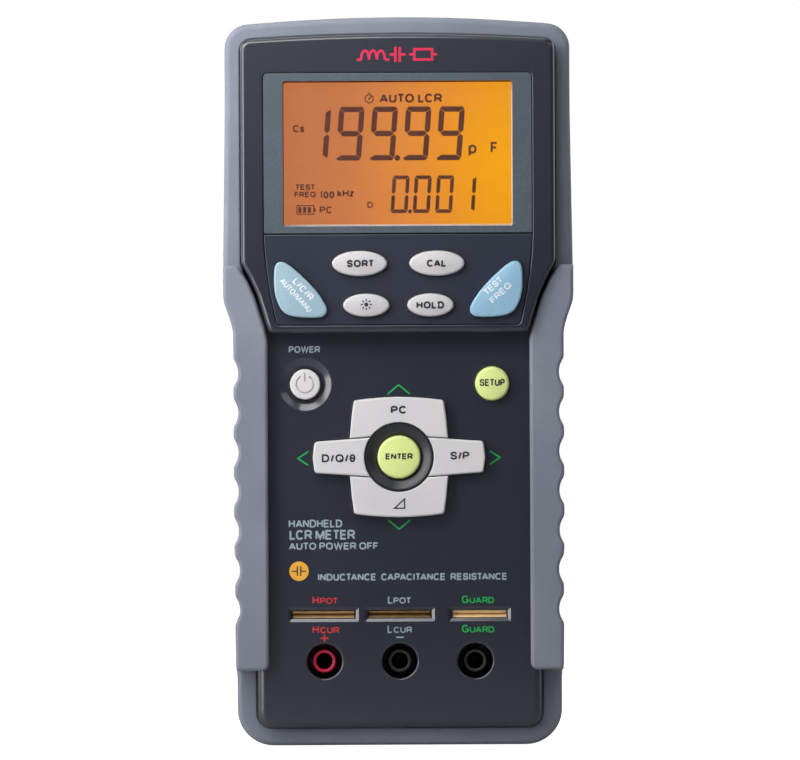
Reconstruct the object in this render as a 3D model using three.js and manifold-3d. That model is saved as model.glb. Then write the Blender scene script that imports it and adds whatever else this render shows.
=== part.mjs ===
// Handheld LCR meter in a rubber holster, standing upright on its bottom end.
// Frame: +X to the right of a person facing the display, +Z up along the instrument,
// +Y towards its back, so the display faces -Y. Millimetres.
// Origin: centre of the footprint of the whole instrument, at its lowest face.
//
// "t" below is height above the holster's back plane, measured towards the person:
// Y = T_MID - t. Flat outlines are drawn in (x, z) and given a span of t.
import * as THREE from "three";
import { mergeVertices } from "three/addons/utils/BufferGeometryUtils.js";
import Module from "manifold-3d";

const wasm = await Module();
wasm.setup();

// ---------- driving dimensions, mm ----------
const LENGTH = 184;          // holster, end to end
const DEPTH = 42;            // holster back to the tops of the upper keys
const T_MID = DEPTH / 2;
const HOLSTER_HALF_TOP = 43.6, HOLSTER_HALF_SHOULDER = 44.2, HOLSTER_HALF_GRIP = 41.7;
const CASE_HALF_HEAD = 39.6, CASE_HALF_BODY = 36.0, CASE_TOP = 179.6, CASE_BOTTOM = 4.55;
const T_HOLSTER_BACK = 2.5;  // thickness of the holster's back
const T_REAR = 2.8;          // back face of the rear case
const T_PART = 17;           // parting line between the two case halves
const T_FACE = 35;           // lower front face
const T_HEAD = 40.2;         // raised display head
const T_RIM_TOP = 34, T_RIM_BOTTOM = 31, T_GRIP = 38;
const GRIP_Z0 = 19.2, GRIP_Z1 = 121.3, GRIP_INNER = 33.4;
const WALL = 2.0;
const TRAVEL = 0.9;          // key stroke
const T_DOME = 30.1;         // tops of the keypad's contact pads
const T_STEM = T_DOME + TRAVEL + 0.1;   // free end of each key's stem
const T_BOARD0 = 26.8, T_BOARD1 = 28.4;
const SOCKET_PITCH = 19.05, SOCKET_Z = 21.4, SOCKET_HOLE_R = 4.5, PLUG_BORE_R = 2.0;
const SLOT_Z = 33.2, NAV_Z = 72.9, ROUND_KEY_Z = 91.35, ROUND_KEY_X = 23.6;
const STAND_PIVOT_T = 2.6, STAND_PIVOT_Z = 123.5;
const DC_Z = 140, DC_T = 21.5;
const CASE_SCREWS = [[-35.1, 168], [35.1, 168], [-31.2, 9.4], [31.2, 9.4]];
const BOARD_SCREWS = [[-30.3, 62], [30.3, 62]];

// ---------- outline helpers ----------
const mirror = (half) => [...half, ...half.slice().reverse().filter((p) => Math.abs(p[0]) > 1e-9).map(([x, z, r]) => [-x, z, r])];
// Corner list [x, z, radius] to points, each corner rounded by its radius.
function rounded(corners, arc = 4) {
  const out = [], n = corners.length;
  for (let i = 0; i < n; i++) {
    const [x, z, r = 0] = corners[i];
    if (!r) { out.push([x, z]); continue; }
    const a = corners[(i + n - 1) % n], b = corners[(i + 1) % n];
    const u = new THREE.Vector2(a[0] - x, a[1] - z).normalize(), v = new THREE.Vector2(b[0] - x, b[1] - z).normalize();
    const half = Math.acos(THREE.MathUtils.clamp(u.dot(v), -1, 1)) / 2, d = r / Math.tan(half);
    const m = u.clone().add(v).normalize().multiplyScalar(r / Math.sin(half)), cx = x + m.x, cz = z + m.y;
    const a0 = Math.atan2(z + u.y * d - cz, x + u.x * d - cx);
    let da = Math.atan2(z + v.y * d - cz, x + v.x * d - cx) - a0;
    while (da > Math.PI) da -= 2 * Math.PI;
    while (da < -Math.PI) da += 2 * Math.PI;
    for (let k = 0; k <= arc; k++) out.push([cx + r * Math.cos(a0 + (da * k) / arc), cz + r * Math.sin(a0 + (da * k) / arc)]);
  }
  return out;
}
const area = (p) => p.reduce((s, [x, z], i) => { const [a, b] = p[(i + 1) % p.length]; return s + x * b - a * z; }, 0) / 2;
const ccw = (p) => (area(p) < 0 ? p.slice().reverse() : p);
const box2 = (x0, x1, z0, z1, r = 0, arc = 3) => rounded([[x0, z0, r], [x1, z0, r], [x1, z1, r], [x0, z1, r]], arc);
const circle2 = (x, z, r, n = 24) => Array.from({ length: n }, (_, i) => [x + r * Math.cos((2 * Math.PI * i) / n), z + r * Math.sin((2 * Math.PI * i) / n)]);
const ellipse2 = (x, z, a, b, n = 22) => Array.from({ length: n }, (_, i) => [x + a * Math.cos((2 * Math.PI * i) / n), z + b * Math.sin((2 * Math.PI * i) / n)]);
// Outline moved by d along its normals, outwards for d > 0.
function offset(points, d) {
  const p = ccw(points).filter((q, i, s) => { const w = s[(i + 1) % s.length]; return Math.hypot(q[0] - w[0], q[1] - w[1]) > 1e-4; });
  return p.map(([x, z], i) => {
    const a = p[(i + p.length - 1) % p.length], b = p[(i + 1) % p.length];
    const u = new THREE.Vector2(x - a[0], z - a[1]).normalize(), v = new THREE.Vector2(b[0] - x, b[1] - z).normalize();
    const n = new THREE.Vector2(u.y + v.y, -u.x - v.x).normalize(), c = Math.max(0.3, n.x * u.y - n.y * u.x);
    return [x + (n.x * d) / c, z + (n.y * d) / c];
  });
}
// Smooth closed curve through points.
const smooth = (pts, n = 36, tension = 0.5) => new THREE.CatmullRomCurve3(pts.map(([x, z]) => new THREE.Vector3(x, z, 0)), true, "catmullrom", tension).getPoints(n).slice(0, -1).map((v) => [v.x, v.y]);

// ---------- solid helpers ----------
function shapeOf(points, holes = []) {
  const s = new THREE.Shape(ccw(points).map(([x, z]) => new THREE.Vector2(x, z)));
  for (const h of holes) s.holes.push(new THREE.Path(ccw(h).reverse().map(([x, z]) => new THREE.Vector2(x, z))));
  return s;
}
// Plate over t0..t1. edge > 0 rounds both rims by that much.
function plate(points, t0, t1, { holes = [], edge = 0, steps = 2 } = {}) {
  const g = new THREE.ExtrudeGeometry(shapeOf(points, holes), edge
    ? { depth: t1 - t0 - 2 * edge, bevelEnabled: true, bevelThickness: edge, bevelSize: edge, bevelOffset: -edge, bevelSegments: steps, curveSegments: 8 }
    : { depth: t1 - t0, bevelEnabled: false, curveSegments: 8 });
  g.translate(0, 0, t0 + edge - T_MID);
  g.rotateX(Math.PI / 2);
  return g;
}
// Prism along X over x0..x1 from points given as [t, z].
function prismX(points, x0, x1) {
  const g = new THREE.ExtrudeGeometry(shapeOf(points.map(([t, z]) => [t - T_MID, z])), { depth: x1 - x0, bevelEnabled: false });
  g.translate(0, 0, x0);
  return g.applyMatrix4(new THREE.Matrix4().set(0, 0, 1, 0, -1, 0, 0, 0, 0, 1, 0, 0, 0, 0, 0, 1));
}
// Strip of sheet metal along X: a [t, z] centreline given a thickness.
function stripX(line, thick, x0, x1) {
  const side = (s) => line.map(([t, z], i) => {
    const a = line[Math.max(0, i - 1)], b = line[Math.min(line.length - 1, i + 1)], l = Math.hypot(b[0] - a[0], b[1] - a[1]);
    return [t - (s * thick * (b[1] - a[1])) / (2 * l), z + (s * thick * (b[0] - a[0])) / (2 * l)];
  });
  return prismX([...side(1), ...side(-1).reverse()], x0, x1);
}
const place = (g, x, y, z) => g.translate(x, y, z);
// Turned piece about a Y-parallel axis at (x, z); profile points are [radius, t].
const turned = (profile, x, z, n = 24) => place(new THREE.LatheGeometry(profile.map(([r, t]) => new THREE.Vector2(r, t)), n).rotateX(Math.PI), x, T_MID, z);
const box = (x0, x1, t0, t1, z0, z1) => place(new THREE.BoxGeometry(x1 - x0, t1 - t0, z1 - z0), (x0 + x1) / 2, T_MID - (t0 + t1) / 2, (z0 + z1) / 2);
const rod = (x, z, r, t0, t1, n = 20) => plate(circle2(x, z, r, n), t0, t1);
const rodX = (t, z, r, x0, x1, n = 20) => place(new THREE.CylinderGeometry(r, r, x1 - x0, n).rotateZ(Math.PI / 2), (x0 + x1) / 2, T_MID - t, z);
const rodZ = (x, t, r, z0, z1, n = 16) => place(new THREE.CylinderGeometry(r, r, z1 - z0, n).rotateX(Math.PI / 2), x, T_MID - t, (z0 + z1) / 2);
function tube(points, r, n = 8, steps = 24) {
  const path = new THREE.CatmullRomCurve3(points.map(([x, t, z]) => new THREE.Vector3(x, T_MID - t, z)));
  return new THREE.ExtrudeGeometry(shapeOf(circle2(0, 0, r, n)), { extrudePath: path, steps, bevelEnabled: false });
}
// A closed geometry as a solid, whichever way round its faces were made.
function M(g) {
  if (g.decompose) return g;
  const bare = new THREE.BufferGeometry().setAttribute("position", (g.index ? g.toNonIndexed() : g).getAttribute("position"));
  const m = mergeVertices(bare, 1e-4), p = m.attributes.position.array, tris = [];
  let six = 0;
  for (let i = 0; i < m.index.count; i += 3) {
    const [a, b, c] = [m.index.array[i], m.index.array[i + 1], m.index.array[i + 2]];
    if (a === b || b === c || a === c) continue;
    tris.push(a, b, c);
    const [A, B, C] = [a, b, c].map((k) => new THREE.Vector3(p[3 * k], p[3 * k + 1], p[3 * k + 2]));
    six += A.dot(B.cross(C));
  }
  if (six < 0) for (let i = 0; i < tris.length; i += 3) [tris[i + 1], tris[i + 2]] = [tris[i + 2], tris[i + 1]];
  return new wasm.Manifold(new wasm.Mesh({ numProp: 3, vertProperties: new Float32Array(p), triVerts: new Uint32Array(tris) }));
}
const union = (...g) => g.map(M).reduce((a, b) => a.add(b));
const cut = (a, ...g) => g.map(M).reduce((s, b) => s.subtract(b), M(a));
const common = (a, b) => M(a).intersect(M(b));
function G(s) {
  const m = s.getMesh(), v = new Float32Array(m.numVert * 3);
  for (let i = 0; i < m.numVert; i++) v.set(m.vertProperties.subarray(i * m.numProp, i * m.numProp + 3), i * 3);
  return new THREE.BufferGeometry().setAttribute("position", new THREE.BufferAttribute(v, 3)).setIndex(new THREE.BufferAttribute(new Uint32Array(m.triVerts), 1));
}

// ---------- materials ----------
const mat = (color, roughness, metalness = 0, extra = {}) => new THREE.MeshStandardMaterial({ color, roughness, metalness, ...extra });
const RUBBER = mat(0x747a88, 0.75), SHELL = mat(0x343741, 0.5), KEY_WHITE = mat(0xd9d7d8, 0.4), KEY_GREEN = mat(0xd6ea86, 0.4);
const KEY_BLUE = mat(0x8ebcd2, 0.4), WINDOW = mat(0x55626c, 0.15), LCD = mat(0xe28a3c, 0.3), GLOW = mat(0xf4b24a, 0.5);
const BOARD = mat(0x1f5a38, 0.5), BRASS = mat(0xc9a050, 0.3, 1), STEEL = mat(0xb8b8bc, 0.3, 1), BLACK = mat(0x17171a, 0.5);
const RED = mat(0x9c1f3c, 0.4), SILICONE = mat(0x9a9da0, 0.7), PALE = mat(0xe6e6e2, 0.6), CELL = mat(0x2b3a63, 0.35), LABEL = mat(0xaeb2b8, 0.4);
const DARK_RED = mat(0x2a0c12, 0.15), FRAME_WHITE = mat(0xe9e9e6, 0.6);

// The instrument: what stays still, the keys, the stand (its group sits on the hinge line) and the battery cover.
const meter = new THREE.Group(), housing = new THREE.Group(), keys = new THREE.Group(), stand = new THREE.Group(), cover = new THREE.Group();
meter.add(housing, keys, stand, cover);
keys.position.set(0, T_MID - T_FACE, NAV_Z);
stand.position.set(0, T_MID - STAND_PIVOT_T, STAND_PIVOT_Z);
cover.position.set(0, T_MID - 5, 78.2);
// One named piece: its shape is kept about its own centre, and its place is the mesh's position in its group.
function add(name, geometry, material, group = housing) {
  const g = G(M(geometry));
  g.computeBoundingBox();
  const centre = g.boundingBox.getCenter(new THREE.Vector3()).multiplyScalar(8).round().divideScalar(8);
  const mesh = new THREE.Mesh(g.translate(-centre.x, -centre.y, -centre.z), material);
  mesh.name = name;
  mesh.position.copy(centre.sub(group.position));
  group.add(mesh);
}

// ---------- outlines ----------
// Arc across the top end: z at x, for a crown from z0 at the middle to z1 at x = w.
const crown = (z0, z1, w, from, to, n) => Array.from({ length: n + 1 }, (_, i) => { const x = from + ((to - from) * i) / n; return [x, z0 - ((z0 - z1) * x * x) / (w * w)]; });
const caseHalf = [[0, CASE_BOTTOM], [CASE_HALF_BODY, CASE_BOTTOM, 3.6], [CASE_HALF_BODY, 104], [36.4, 109.5], [37.2, 113.6], [38.4, 118.3], [CASE_HALF_HEAD, 122],
  [CASE_HALF_HEAD, 178.25, 2.6], ...crown(CASE_TOP, 178.3, 37.6, 32, 4, 4), [0, CASE_TOP]];
const caseOutline = rounded(mirror(caseHalf), 4);
const headHalf = [[0, 104.3], [32.4, 104.3, 1.5], [33.1, 105.9], [34.15, 109.5], [35.4, 113.6], [37.5, 118.3], [CASE_HALF_HEAD, 122],
  [CASE_HALF_HEAD, 178.25, 2.6], ...crown(CASE_TOP, 178.3, 37.6, 32, 4, 4), [0, CASE_TOP]];
const headOutline = rounded(mirror(headHalf), 4);
const headInside = rounded(mirror([[0, 106.3], [31.0, 106.3, 0.6], [32.0, 109.8], [33.3, 114], [35.4, 118.8], [37.2, 122.4], [37.2, 175.6, 0.6], [0, 177.0]]), 2);

const SCALLOPS = [94.3, 84.25, 74.3, 64.4, 54.4, 44.5, 34.5], SCALLOP_R = 5.4, SCALLOP_DEEP = 1.25;
function holsterHalf() {
  const p = [[0, 0], [41.1, 0, 9.1], [41.1, 17], [41.4, 21]];
  for (const z of SCALLOPS.slice().reverse()) {
    const w = HOLSTER_HALF_GRIP - (z < 50 ? 0.2 : 0), cx = w - SCALLOP_DEEP + SCALLOP_R, a = Math.acos((SCALLOP_R - SCALLOP_DEEP) / SCALLOP_R);
    for (let k = 0; k <= 5; k++) { const f = -a + (2 * a * k) / 5; p.push([cx - SCALLOP_R * Math.cos(f), z + SCALLOP_R * Math.sin(f)]); }
  }
  p.push([41.7, 104.4], [42.1, 106.4], [42.7, 108.4], [43.5, 110.6], [44.0, 112.1], [HOLSTER_HALF_SHOULDER, 113.6], [HOLSTER_HALF_SHOULDER, 122], [43.9, 140], [HOLSTER_HALF_TOP, 160]);
  p.push([HOLSTER_HALF_TOP, 181.9, 6.1], ...crown(LENGTH, 182.2, 39, 32, 4, 4), [0, LENGTH]);
  return p;
}
const holsterOutline = rounded(mirror(holsterHalf()), 6);

const fasciaPocket = rounded(mirror([[0, 106.2], [30.7, 106.2, 1.2], [31.4, 109.6], [32.45, 114.7], [33.2, 119.9], [33.7, 125], [33.9, 129.2], [33.9, 169.8, 1.2], [0, 169.8]]), 3);

// Keys: outline, centre of the stem.
const leaf = smooth([[-31.27, 119.85], [-31.25, 115.2], [-30.5, 112.1], [-29.25, 109.8], [-27.3, 108.6], [-23.7, 108.1], [-19.8, 108.15], [-18.3, 108.9], [-17.95, 110.15], [-18.5, 111.7], [-20.6, 114.85],
  [-23.7, 118.2], [-26.5, 120.7], [-28.2, 121.9], [-29.6, 122.25], [-30.7, 121.7]], 30);
const NAV_EDGE = (x, gap) => 4.9 - 0.07 * (Math.abs(x) - 7.6) + gap;
const RING_R = 8.65, RING_GAP = 0.35, ENTER_R = 5.45;
const sideKey = (s) => rounded([[5 * s, NAV_Z - NAV_EDGE(5, 0)], [21.3 * s, NAV_Z - NAV_EDGE(21.3, 0), 0.9], [21.8 * s, NAV_Z], [21.3 * s, NAV_Z + NAV_EDGE(21.3, 0), 0.9], [5 * s, NAV_Z + NAV_EDGE(5, 0)]], 3);
const endKey = (s) => rounded([[5, NAV_Z + s * NAV_EDGE(5, 0.35)], [12.4, NAV_Z + s * NAV_EDGE(12.4, 0.35)], [11.95, NAV_Z + s * 10], [11.35, NAV_Z + s * 14.35, 0.9], [7.5, NAV_Z + s * 14.8], [0, NAV_Z + s * 15.2],
  [-7.5, NAV_Z + s * 14.8], [-11.35, NAV_Z + s * 14.35, 0.9], [-11.95, NAV_Z + s * 10], [-12.4, NAV_Z + s * NAV_EDGE(12.4, 0.35)], [-5, NAV_Z + s * NAV_EDGE(5, 0.35)]], 3);
const HEAD_KEYS = {
  key_sort: { outline: ellipse2(-9.73, 121.7, 7.0, 3.22), at: [-9.73, 121.7], mat: KEY_WHITE },
  key_cal: { outline: ellipse2(9.73, 121.7, 7.0, 3.22), at: [9.73, 121.7], mat: KEY_WHITE },
  key_backlight: { outline: ellipse2(-8.08, 111.2, 5.9, 2.96), at: [-8.08, 111.2], mat: KEY_WHITE },
  key_hold: { outline: ellipse2(8.08, 111.2, 5.9, 2.96), at: [8.08, 111.2], mat: KEY_WHITE },
  key_mode: { outline: leaf, at: [-26.3, 113.4], mat: KEY_BLUE },
  key_frequency: { outline: leaf.map(([x, z]) => [-x, z]).reverse(), at: [26.3, 113.4], mat: KEY_BLUE },
};
const NAV_KEYS = {
  key_up: { outline: endKey(1), at: [0, NAV_Z + 11.6] },
  key_down: { outline: endKey(-1), at: [0, NAV_Z - 11.6] },
  key_left: { outline: sideKey(-1), at: [-16.2, NAV_Z] },
  key_right: { outline: sideKey(1), at: [16.2, NAV_Z] },
};
const ROUND_KEYS = {
  key_power: { r: 3.84, at: [-ROUND_KEY_X, ROUND_KEY_Z], top: 36.0, mat: KEY_WHITE },
  key_setup: { r: 4.32, at: [ROUND_KEY_X, ROUND_KEY_Z], top: 37.1, mat: KEY_GREEN },
  key_enter: { r: ENTER_R, at: [0, NAV_Z], top: 37.3, mat: KEY_GREEN },
};
const STEM_R = 1.9;

// Fixture slots: centre x, width of the funnel, width of the slot.
const SLOTS = { high: [-19.2, 17.7, 16.2], low: [0, 17.7, 16.2], guard: [20.2, 15.7, 14.2] };
const SOCKETS = { high: -SOCKET_PITCH, low: 0, guard: SOCKET_PITCH };

// ---------- holster ----------
{
  const free = offset(caseOutline, 0.35);
  const lips = rounded([[-GRIP_INNER, 12], [GRIP_INNER, 12], [GRIP_INNER, 103.6], [35.1, 108.8], [36.4, 113.2], [38.3, 117.6], [41, 121.8], [41, 130], [-41, 130], [-41, 121.8], [-38.3, 117.6], [-36.4, 113.2], [-35.1, 108.8], [-GRIP_INNER, 103.6]]);
  add("holster", cut(plate(holsterOutline, 0, T_GRIP, { edge: 1.8 }),
    box(-60, 60, T_RIM_TOP, 60, GRIP_Z1, 200),
    box(-60, 60, T_RIM_BOTTOM, 60, -10, GRIP_Z0),
    plate(free, T_HOLSTER_BACK, T_FACE + 0.35),
    plate(lips, T_FACE - 1, 60),
    plate(box2(-30.2, 30.2, 30, 131, 5), -5, T_HOLSTER_BACK + 1),
    box(-11, 11, 6.5, 16.5, 176, 190),
    box(36, 60, DC_T - 5.2, DC_T + 5.2, DC_Z - 6, DC_Z + 6)), RUBBER);
}

// ---------- front case ----------
{
  let s = union(plate(caseOutline, T_PART - 3, T_FACE, { edge: 1.2 }), plate(headOutline, 22, T_HEAD, { edge: 1.3 }));
  s = cut(s, box(-60, 60, 0, T_PART, -10, 200),
    plate(offset(caseOutline, -WALL), T_PART - 1, T_FACE - WALL),
    plate(headInside, T_FACE - WALL - 1, 36.8));
  // inside: well floor under the direction keys, tubes round the sockets, the power key's boss, screw bosses and board posts
  const wellPlates = Object.values(NAV_KEYS).map((k) => plate(offset(k.outline, 1.6), 32.2, 33.6));
  s = union(s, ...wellPlates, rod(0, NAV_Z, 10.4, 32.2, 33.6, 24), rod(-ROUND_KEY_X, ROUND_KEY_Z, 7.6, 32.0, 33.6, 24),
    ...Object.values(SOCKETS).map((x) => rod(x, SOCKET_Z, 5.9, 19.2, T_FACE - 1, 24)),
    ...Object.values(SLOTS).map(([x, w]) => plate(box2(x - w / 2 - 0.9, x + w / 2 + 0.9, SLOT_Z - 2.9, SLOT_Z + 2.9), 30.5, T_FACE - 1)),
    ...CASE_SCREWS.map(([x, z]) => rod(x, z, 2.75, T_PART, z > 100 ? 37.2 : 33.5, 12)), ...BOARD_SCREWS.map(([x, z]) => rod(x, z, 2.2, 28.7, 33.5, 10)));
  s = cut(s, plate(fasciaPocket, 38.4, 45), plate(box2(-30.2, 30.2, 129.9, 169, 1), 36, 39),
    ...Object.values(HEAD_KEYS).map((k) => plate(offset(k.outline, 0.3), 36, 39)),
    ...Object.values(NAV_KEYS).map((k) => plate(offset(k.outline, 0.35), 33.7, 40)),
    rod(0, NAV_Z, RING_R + 0.3, 33.7, 40, 36), rod(0, NAV_Z, ENTER_R + 0.35, 30, 40, 26),
    ...Object.values(NAV_KEYS).map((k) => rod(k.at[0], k.at[1], STEM_R + 0.35, 30, 36, 12)),
    rod(ROUND_KEY_X, ROUND_KEY_Z, 4.32 + 0.3, 30, 40, 26), rod(-ROUND_KEY_X, ROUND_KEY_Z, 3.84 + 0.3, 30, 40, 26),
    turned([[0, 33.3], [4.3, 33.3], [4.7, 33.4], [5.6, 34.0], [6.3, 34.8], [6.5, 35.2], [0, 35.2]], -ROUND_KEY_X, ROUND_KEY_Z, 28),
    ...Object.values(SOCKETS).map((x) => rod(x, SOCKET_Z, SOCKET_HOLE_R, 10, 40, 24)),
    ...Object.values(SLOTS).map(([x, , w]) => plate(box2(x - w / 2, x + w / 2, SLOT_Z - 1.08, SLOT_Z + 1.08), 33.9, 40)),
    ...Object.values(SLOTS).map(([x, , w]) => plate(box2(x - w / 2, x + w / 2, SLOT_Z - 1.95, SLOT_Z + 1.95), 30, 34.2)),
    ...Object.values(SLOTS).map(([x, w, v]) => prismX([[34.2, SLOT_Z - 1.08], [35.01, SLOT_Z - 1.82], [36, SLOT_Z - 1.82], [36, SLOT_Z + 1.82], [35.01, SLOT_Z + 1.82], [34.2, SLOT_Z + 1.08]], x - (w + v) / 4, x + (w + v) / 4)),
    ...CASE_SCREWS.map(([x, z]) => rod(x, z, 1.6, T_PART - 1, 29, 10)), ...BOARD_SCREWS.map(([x, z]) => rod(x, z, 1.35, 28, 32.4, 8)),
    rodX(DC_T, DC_Z, 3.3, 36, 41));
  add("front_case", s, SHELL);
}

// ---------- rear case, with the battery bay ----------
{
  let s = cut(plate(caseOutline, T_REAR, T_PART + 3, { edge: 1.5 }), box(-60, 60, T_PART, 60, -10, 200));
  const inner = plate(offset(caseOutline, -WALL), 0, T_PART + 1);
  s = cut(s, common(inner, box(-60, 60, 6.2, 60, -10, 200)), common(inner, box(-60, 60, 4.8, 60, 131, 200)), common(inner, box(-60, 60, 4.8, 60, -10, 31)));
  s = union(s, box(-16.2, 16.2, 5, 26.2, 51.4, 111.6), rod(0, 47.4, 3.2, 5.5, 14, 20), ...CASE_SCREWS.map(([x, z]) => rod(x, z, 3.6, 4, T_PART - 0.3, 12)));
  s = cut(s, plate(box2(-27, 27, 31, 127.3, 2, 2), -5, 4.0), box(-26.2, 26.2, -5, 5.1, 120.8, 126.4),
    plate(box2(-17.5, 17.5, 43.2, 113.3, 1.6), -5, 5.3), box(-14.7, 14.7, -5, 24.7, 52.9, 110.1), box(-6, 6, 10, 17, 109, 113),
    rod(0, 47.4, 1.5, 0, 13), box(-9.2, 9.2, 7.8, 15.2, 174, 182),
    ...CASE_SCREWS.map(([x, z]) => rod(x, z, 2.8, -5, 7.5, 12)), ...CASE_SCREWS.map(([x, z]) => rod(x, z, 1.65, 0, 20, 10)));
  s = union(s, ...[-1, 1].map((k) => box(k < 0 ? -29.4 : 26.3, k < 0 ? -26.3 : 29.4, 0.5, 5.5, 120.2, 126.8)));
  s = cut(s, rodX(STAND_PIVOT_T, STAND_PIVOT_Z, 1.15, -31, 31, 24));
  add("rear_case", s, SHELL);
}

// ---------- display ----------
add("keypad_fascia", cut(common(plate(offset(fasciaPocket, -0.2), 38.6, T_HEAD - 0.15), box(-60, 60, 0, 60, 90, 129.05)), ...Object.values(HEAD_KEYS).map((k) => plate(offset(k.outline, 0.25), 36, 45))), SHELL);
add("display_window", common(plate(offset(fasciaPocket, -0.2), 38.6, T_HEAD - 0.25), box(-60, 60, 0, 60, 129.35, 200)), WINDOW);
add("display_frame", cut(plate(box2(-32.2, 32.2, 126.2, 175, 1), 28.7, 36.5), box(-31.2, 31.2, 20, 45, 127.5, 173.9)), FRAME_WHITE);
add("light_guide", box(-30.9, 30.9, 31.0, 34.6, 127.8, 171.2), GLOW);
add("lcd_panel", box(-30.9, 30.9, 34.9, 36.5, 127.8, 173.6), LCD);
add("zebra_strip", box(-28, 28, 28.7, 34.6, 171.5, 173.4), BLACK);

// ---------- keys ----------
for (const [name, k] of Object.entries(HEAD_KEYS)) add(name, union(plate(k.outline, 36, DEPTH, { edge: 0.45, steps: 1 }), plate(offset(k.outline, 0.9), 35.5, 36.4), rod(k.at[0], k.at[1], STEM_R, T_STEM, 36, 8)), k.mat, keys);
for (const [name, k] of Object.entries(NAV_KEYS)) add(name, union(cut(plate(k.outline, 34.75, 37.4, { edge: 0.4, steps: 1 }), rod(0, NAV_Z, RING_R + RING_GAP, 30, 45, 32)), rod(k.at[0], k.at[1], STEM_R, T_STEM, 36, 8)), KEY_WHITE, keys);
for (const [name, k] of Object.entries(ROUND_KEYS)) add(name, union(plate(circle2(k.at[0], k.at[1], k.r, 24), T_STEM, k.top, { edge: 0.4 }), rod(k.at[0], k.at[1], k.r + 0.9, T_STEM, T_STEM + 0.6, 16)), k.mat, keys);
add("nav_ring", turned([[ENTER_R + 0.35, 34.0], [RING_R, 34.0], [RING_R, 36.6], [RING_R - 0.4, 37.0], [7.6, 36.5], [6.6, 35.7], [ENTER_R + 0.35, 35.0], [ENTER_R + 0.35, 34.0]], 0, NAV_Z, 28), SHELL);
{
  const pads = [...Object.values(HEAD_KEYS), ...Object.values(NAV_KEYS), ...Object.values(ROUND_KEYS)].map((k) => rod(k.at[0], k.at[1], 2.3, 29.2, T_DOME, 8));
  add("keypad_sheet", union(plate(rounded([[-27, 54, 1], [27, 54, 1], [27, 100], [29.6, 104], [29.6, 125.2, 1], [-29.6, 125.2, 1], [-29.6, 104], [-27, 100]], 2), 28.7, 29.5), ...pads), SILICONE);
}

// ---------- board ----------
add("main_board", cut(plate(rounded(mirror([[0, 7.3], [33.3, 7.3, 1], [33.3, 104.3], [33.7, 109.7], [34.5, 113.9], [35.7, 118.6], [36.9, 122.3], [36.9, 175.4, 1], [0, 176.6]]), 2), T_BOARD0, T_BOARD1), ...CASE_SCREWS.map(([x, z]) => rod(x, z, 3.3, 20, 30, 10)), ...Object.values(SOCKETS).map((x) => rod(x, SOCKET_Z, 6.4, 20, 30)), ...BOARD_SCREWS.map(([x, z]) => rod(x, z, 1.5, 20, 30, 8))), BOARD);
add("shield_can", cut(box(-24, 24, 20.3, 26.5, 129, 167), box(-23.5, 23.5, 20.8, 27, 129.5, 166.5)), STEEL);
add("measurement_chip", box(-17, -4, 24.4, 26.5, 34, 47), BLACK);
add("controller_chip", box(5, 16, 24.4, 26.5, 36, 47), BLACK);
add("buzzer", rod(23.5, 118, 5.5, 22.8, 26.5, 24), BLACK);
BOARD_SCREWS.forEach(([x, z], i) => add(["board_screw_left", "board_screw_right"][i], turned([[0, 24.9], [2.2, 24.9], [2.2, 26.5], [1.05, 26.5], [1.05, 31.8], [0, 31.8]], x, z, 8), STEEL));
CASE_SCREWS.forEach(([x, z], i) => add("case_screw_" + (i + 1), turned([[0, 5.6], [2.4, 5.6], [2.4, 7.2], [1.3, 7.2], [1.3, 27], [0, 27]], x, z, 10), STEEL));

// ---------- test sockets and fixture contacts ----------
for (const [name, x] of Object.entries(SOCKETS)) {
  add("socket_" + name, turned([[2.5, 14.6], [5.7, 14.6], [5.7, 18.9], [4.2, 18.9], [4.2, 20.5], [2.9, 20.5], [2.9, 33.4], [2.5, 33.6], [2.5, 14.6]], x, SOCKET_Z, 18), name === "high" ? RED : BLACK);
  add("socket_contact_" + name, turned([[0, 15.0], [2.35, 15.0], [2.35, 32.6], [PLUG_BORE_R, 32.9], [PLUG_BORE_R, 16.5], [0, 16.5]], x, SOCKET_Z, 16), BRASS);
}
for (const [name, [x, , w]] of Object.entries(SLOTS)) {
  for (const s of [1, -1]) {
    const line = [[28.8, 1.45], [30.4, 1.4], [31.6, 0.55], [32.4, 0.28], [33.1, 0.34], [33.7, 0.62], [34.05, 0.85]].map(([t, z]) => [t, SLOT_Z + s * z]);
    add("slot_contact_" + name + (s > 0 ? "_upper" : "_lower"), stripX(line, 0.3, x - w / 2 + 0.3, x + w / 2 - 0.3), BRASS);
  }
}

// ---------- battery, its lead and door ----------
add("battery", union(box(-13.1, 13.1, 6.9, 24.3, 54, 100.6), rodZ(-6.35, 15.6, 2.6, 100, 103.2), rodZ(6.35, 15.6, 2.6, 100, 103.2)), CELL);
add("battery_clip", cut(box(-12.8, 12.8, 9.2, 22, 101, 106.3), rodZ(-6.35, 15.6, 3.0, 100, 103.6), rodZ(6.35, 15.6, 3.0, 100, 103.6)), BLACK);
[[-1, "battery_lead_black", BLACK], [1, "battery_lead_red", RED]].forEach(([s, name, m]) =>
  add(name, tube([[3 * s, 13.5, 106.6], [3 * s, 13.4, 109.5], [3.4 * s, 13.6, 112.4], [4.6 * s, 17, 115.5], [5.6 * s, 22, 117], [6 * s, 26.5, 117.3]], 0.75, 6, 10), m));
add("battery_door", cut(plate(box2(-17.2, 17.2, 43.5, 113, 1.4), 3.2, 5.0), rod(0, 47.4, 2.65, -5, 4.2), rod(0, 47.4, 1.6, 0, 10)), SHELL, cover);
add("battery_door_screw", turned([[0, 3.05], [2.3, 3.05], [2.3, 3.95], [1.25, 3.95], [1.25, 11.5], [0, 11.5]], 0, 47.4, 12), STEEL, cover);
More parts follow.
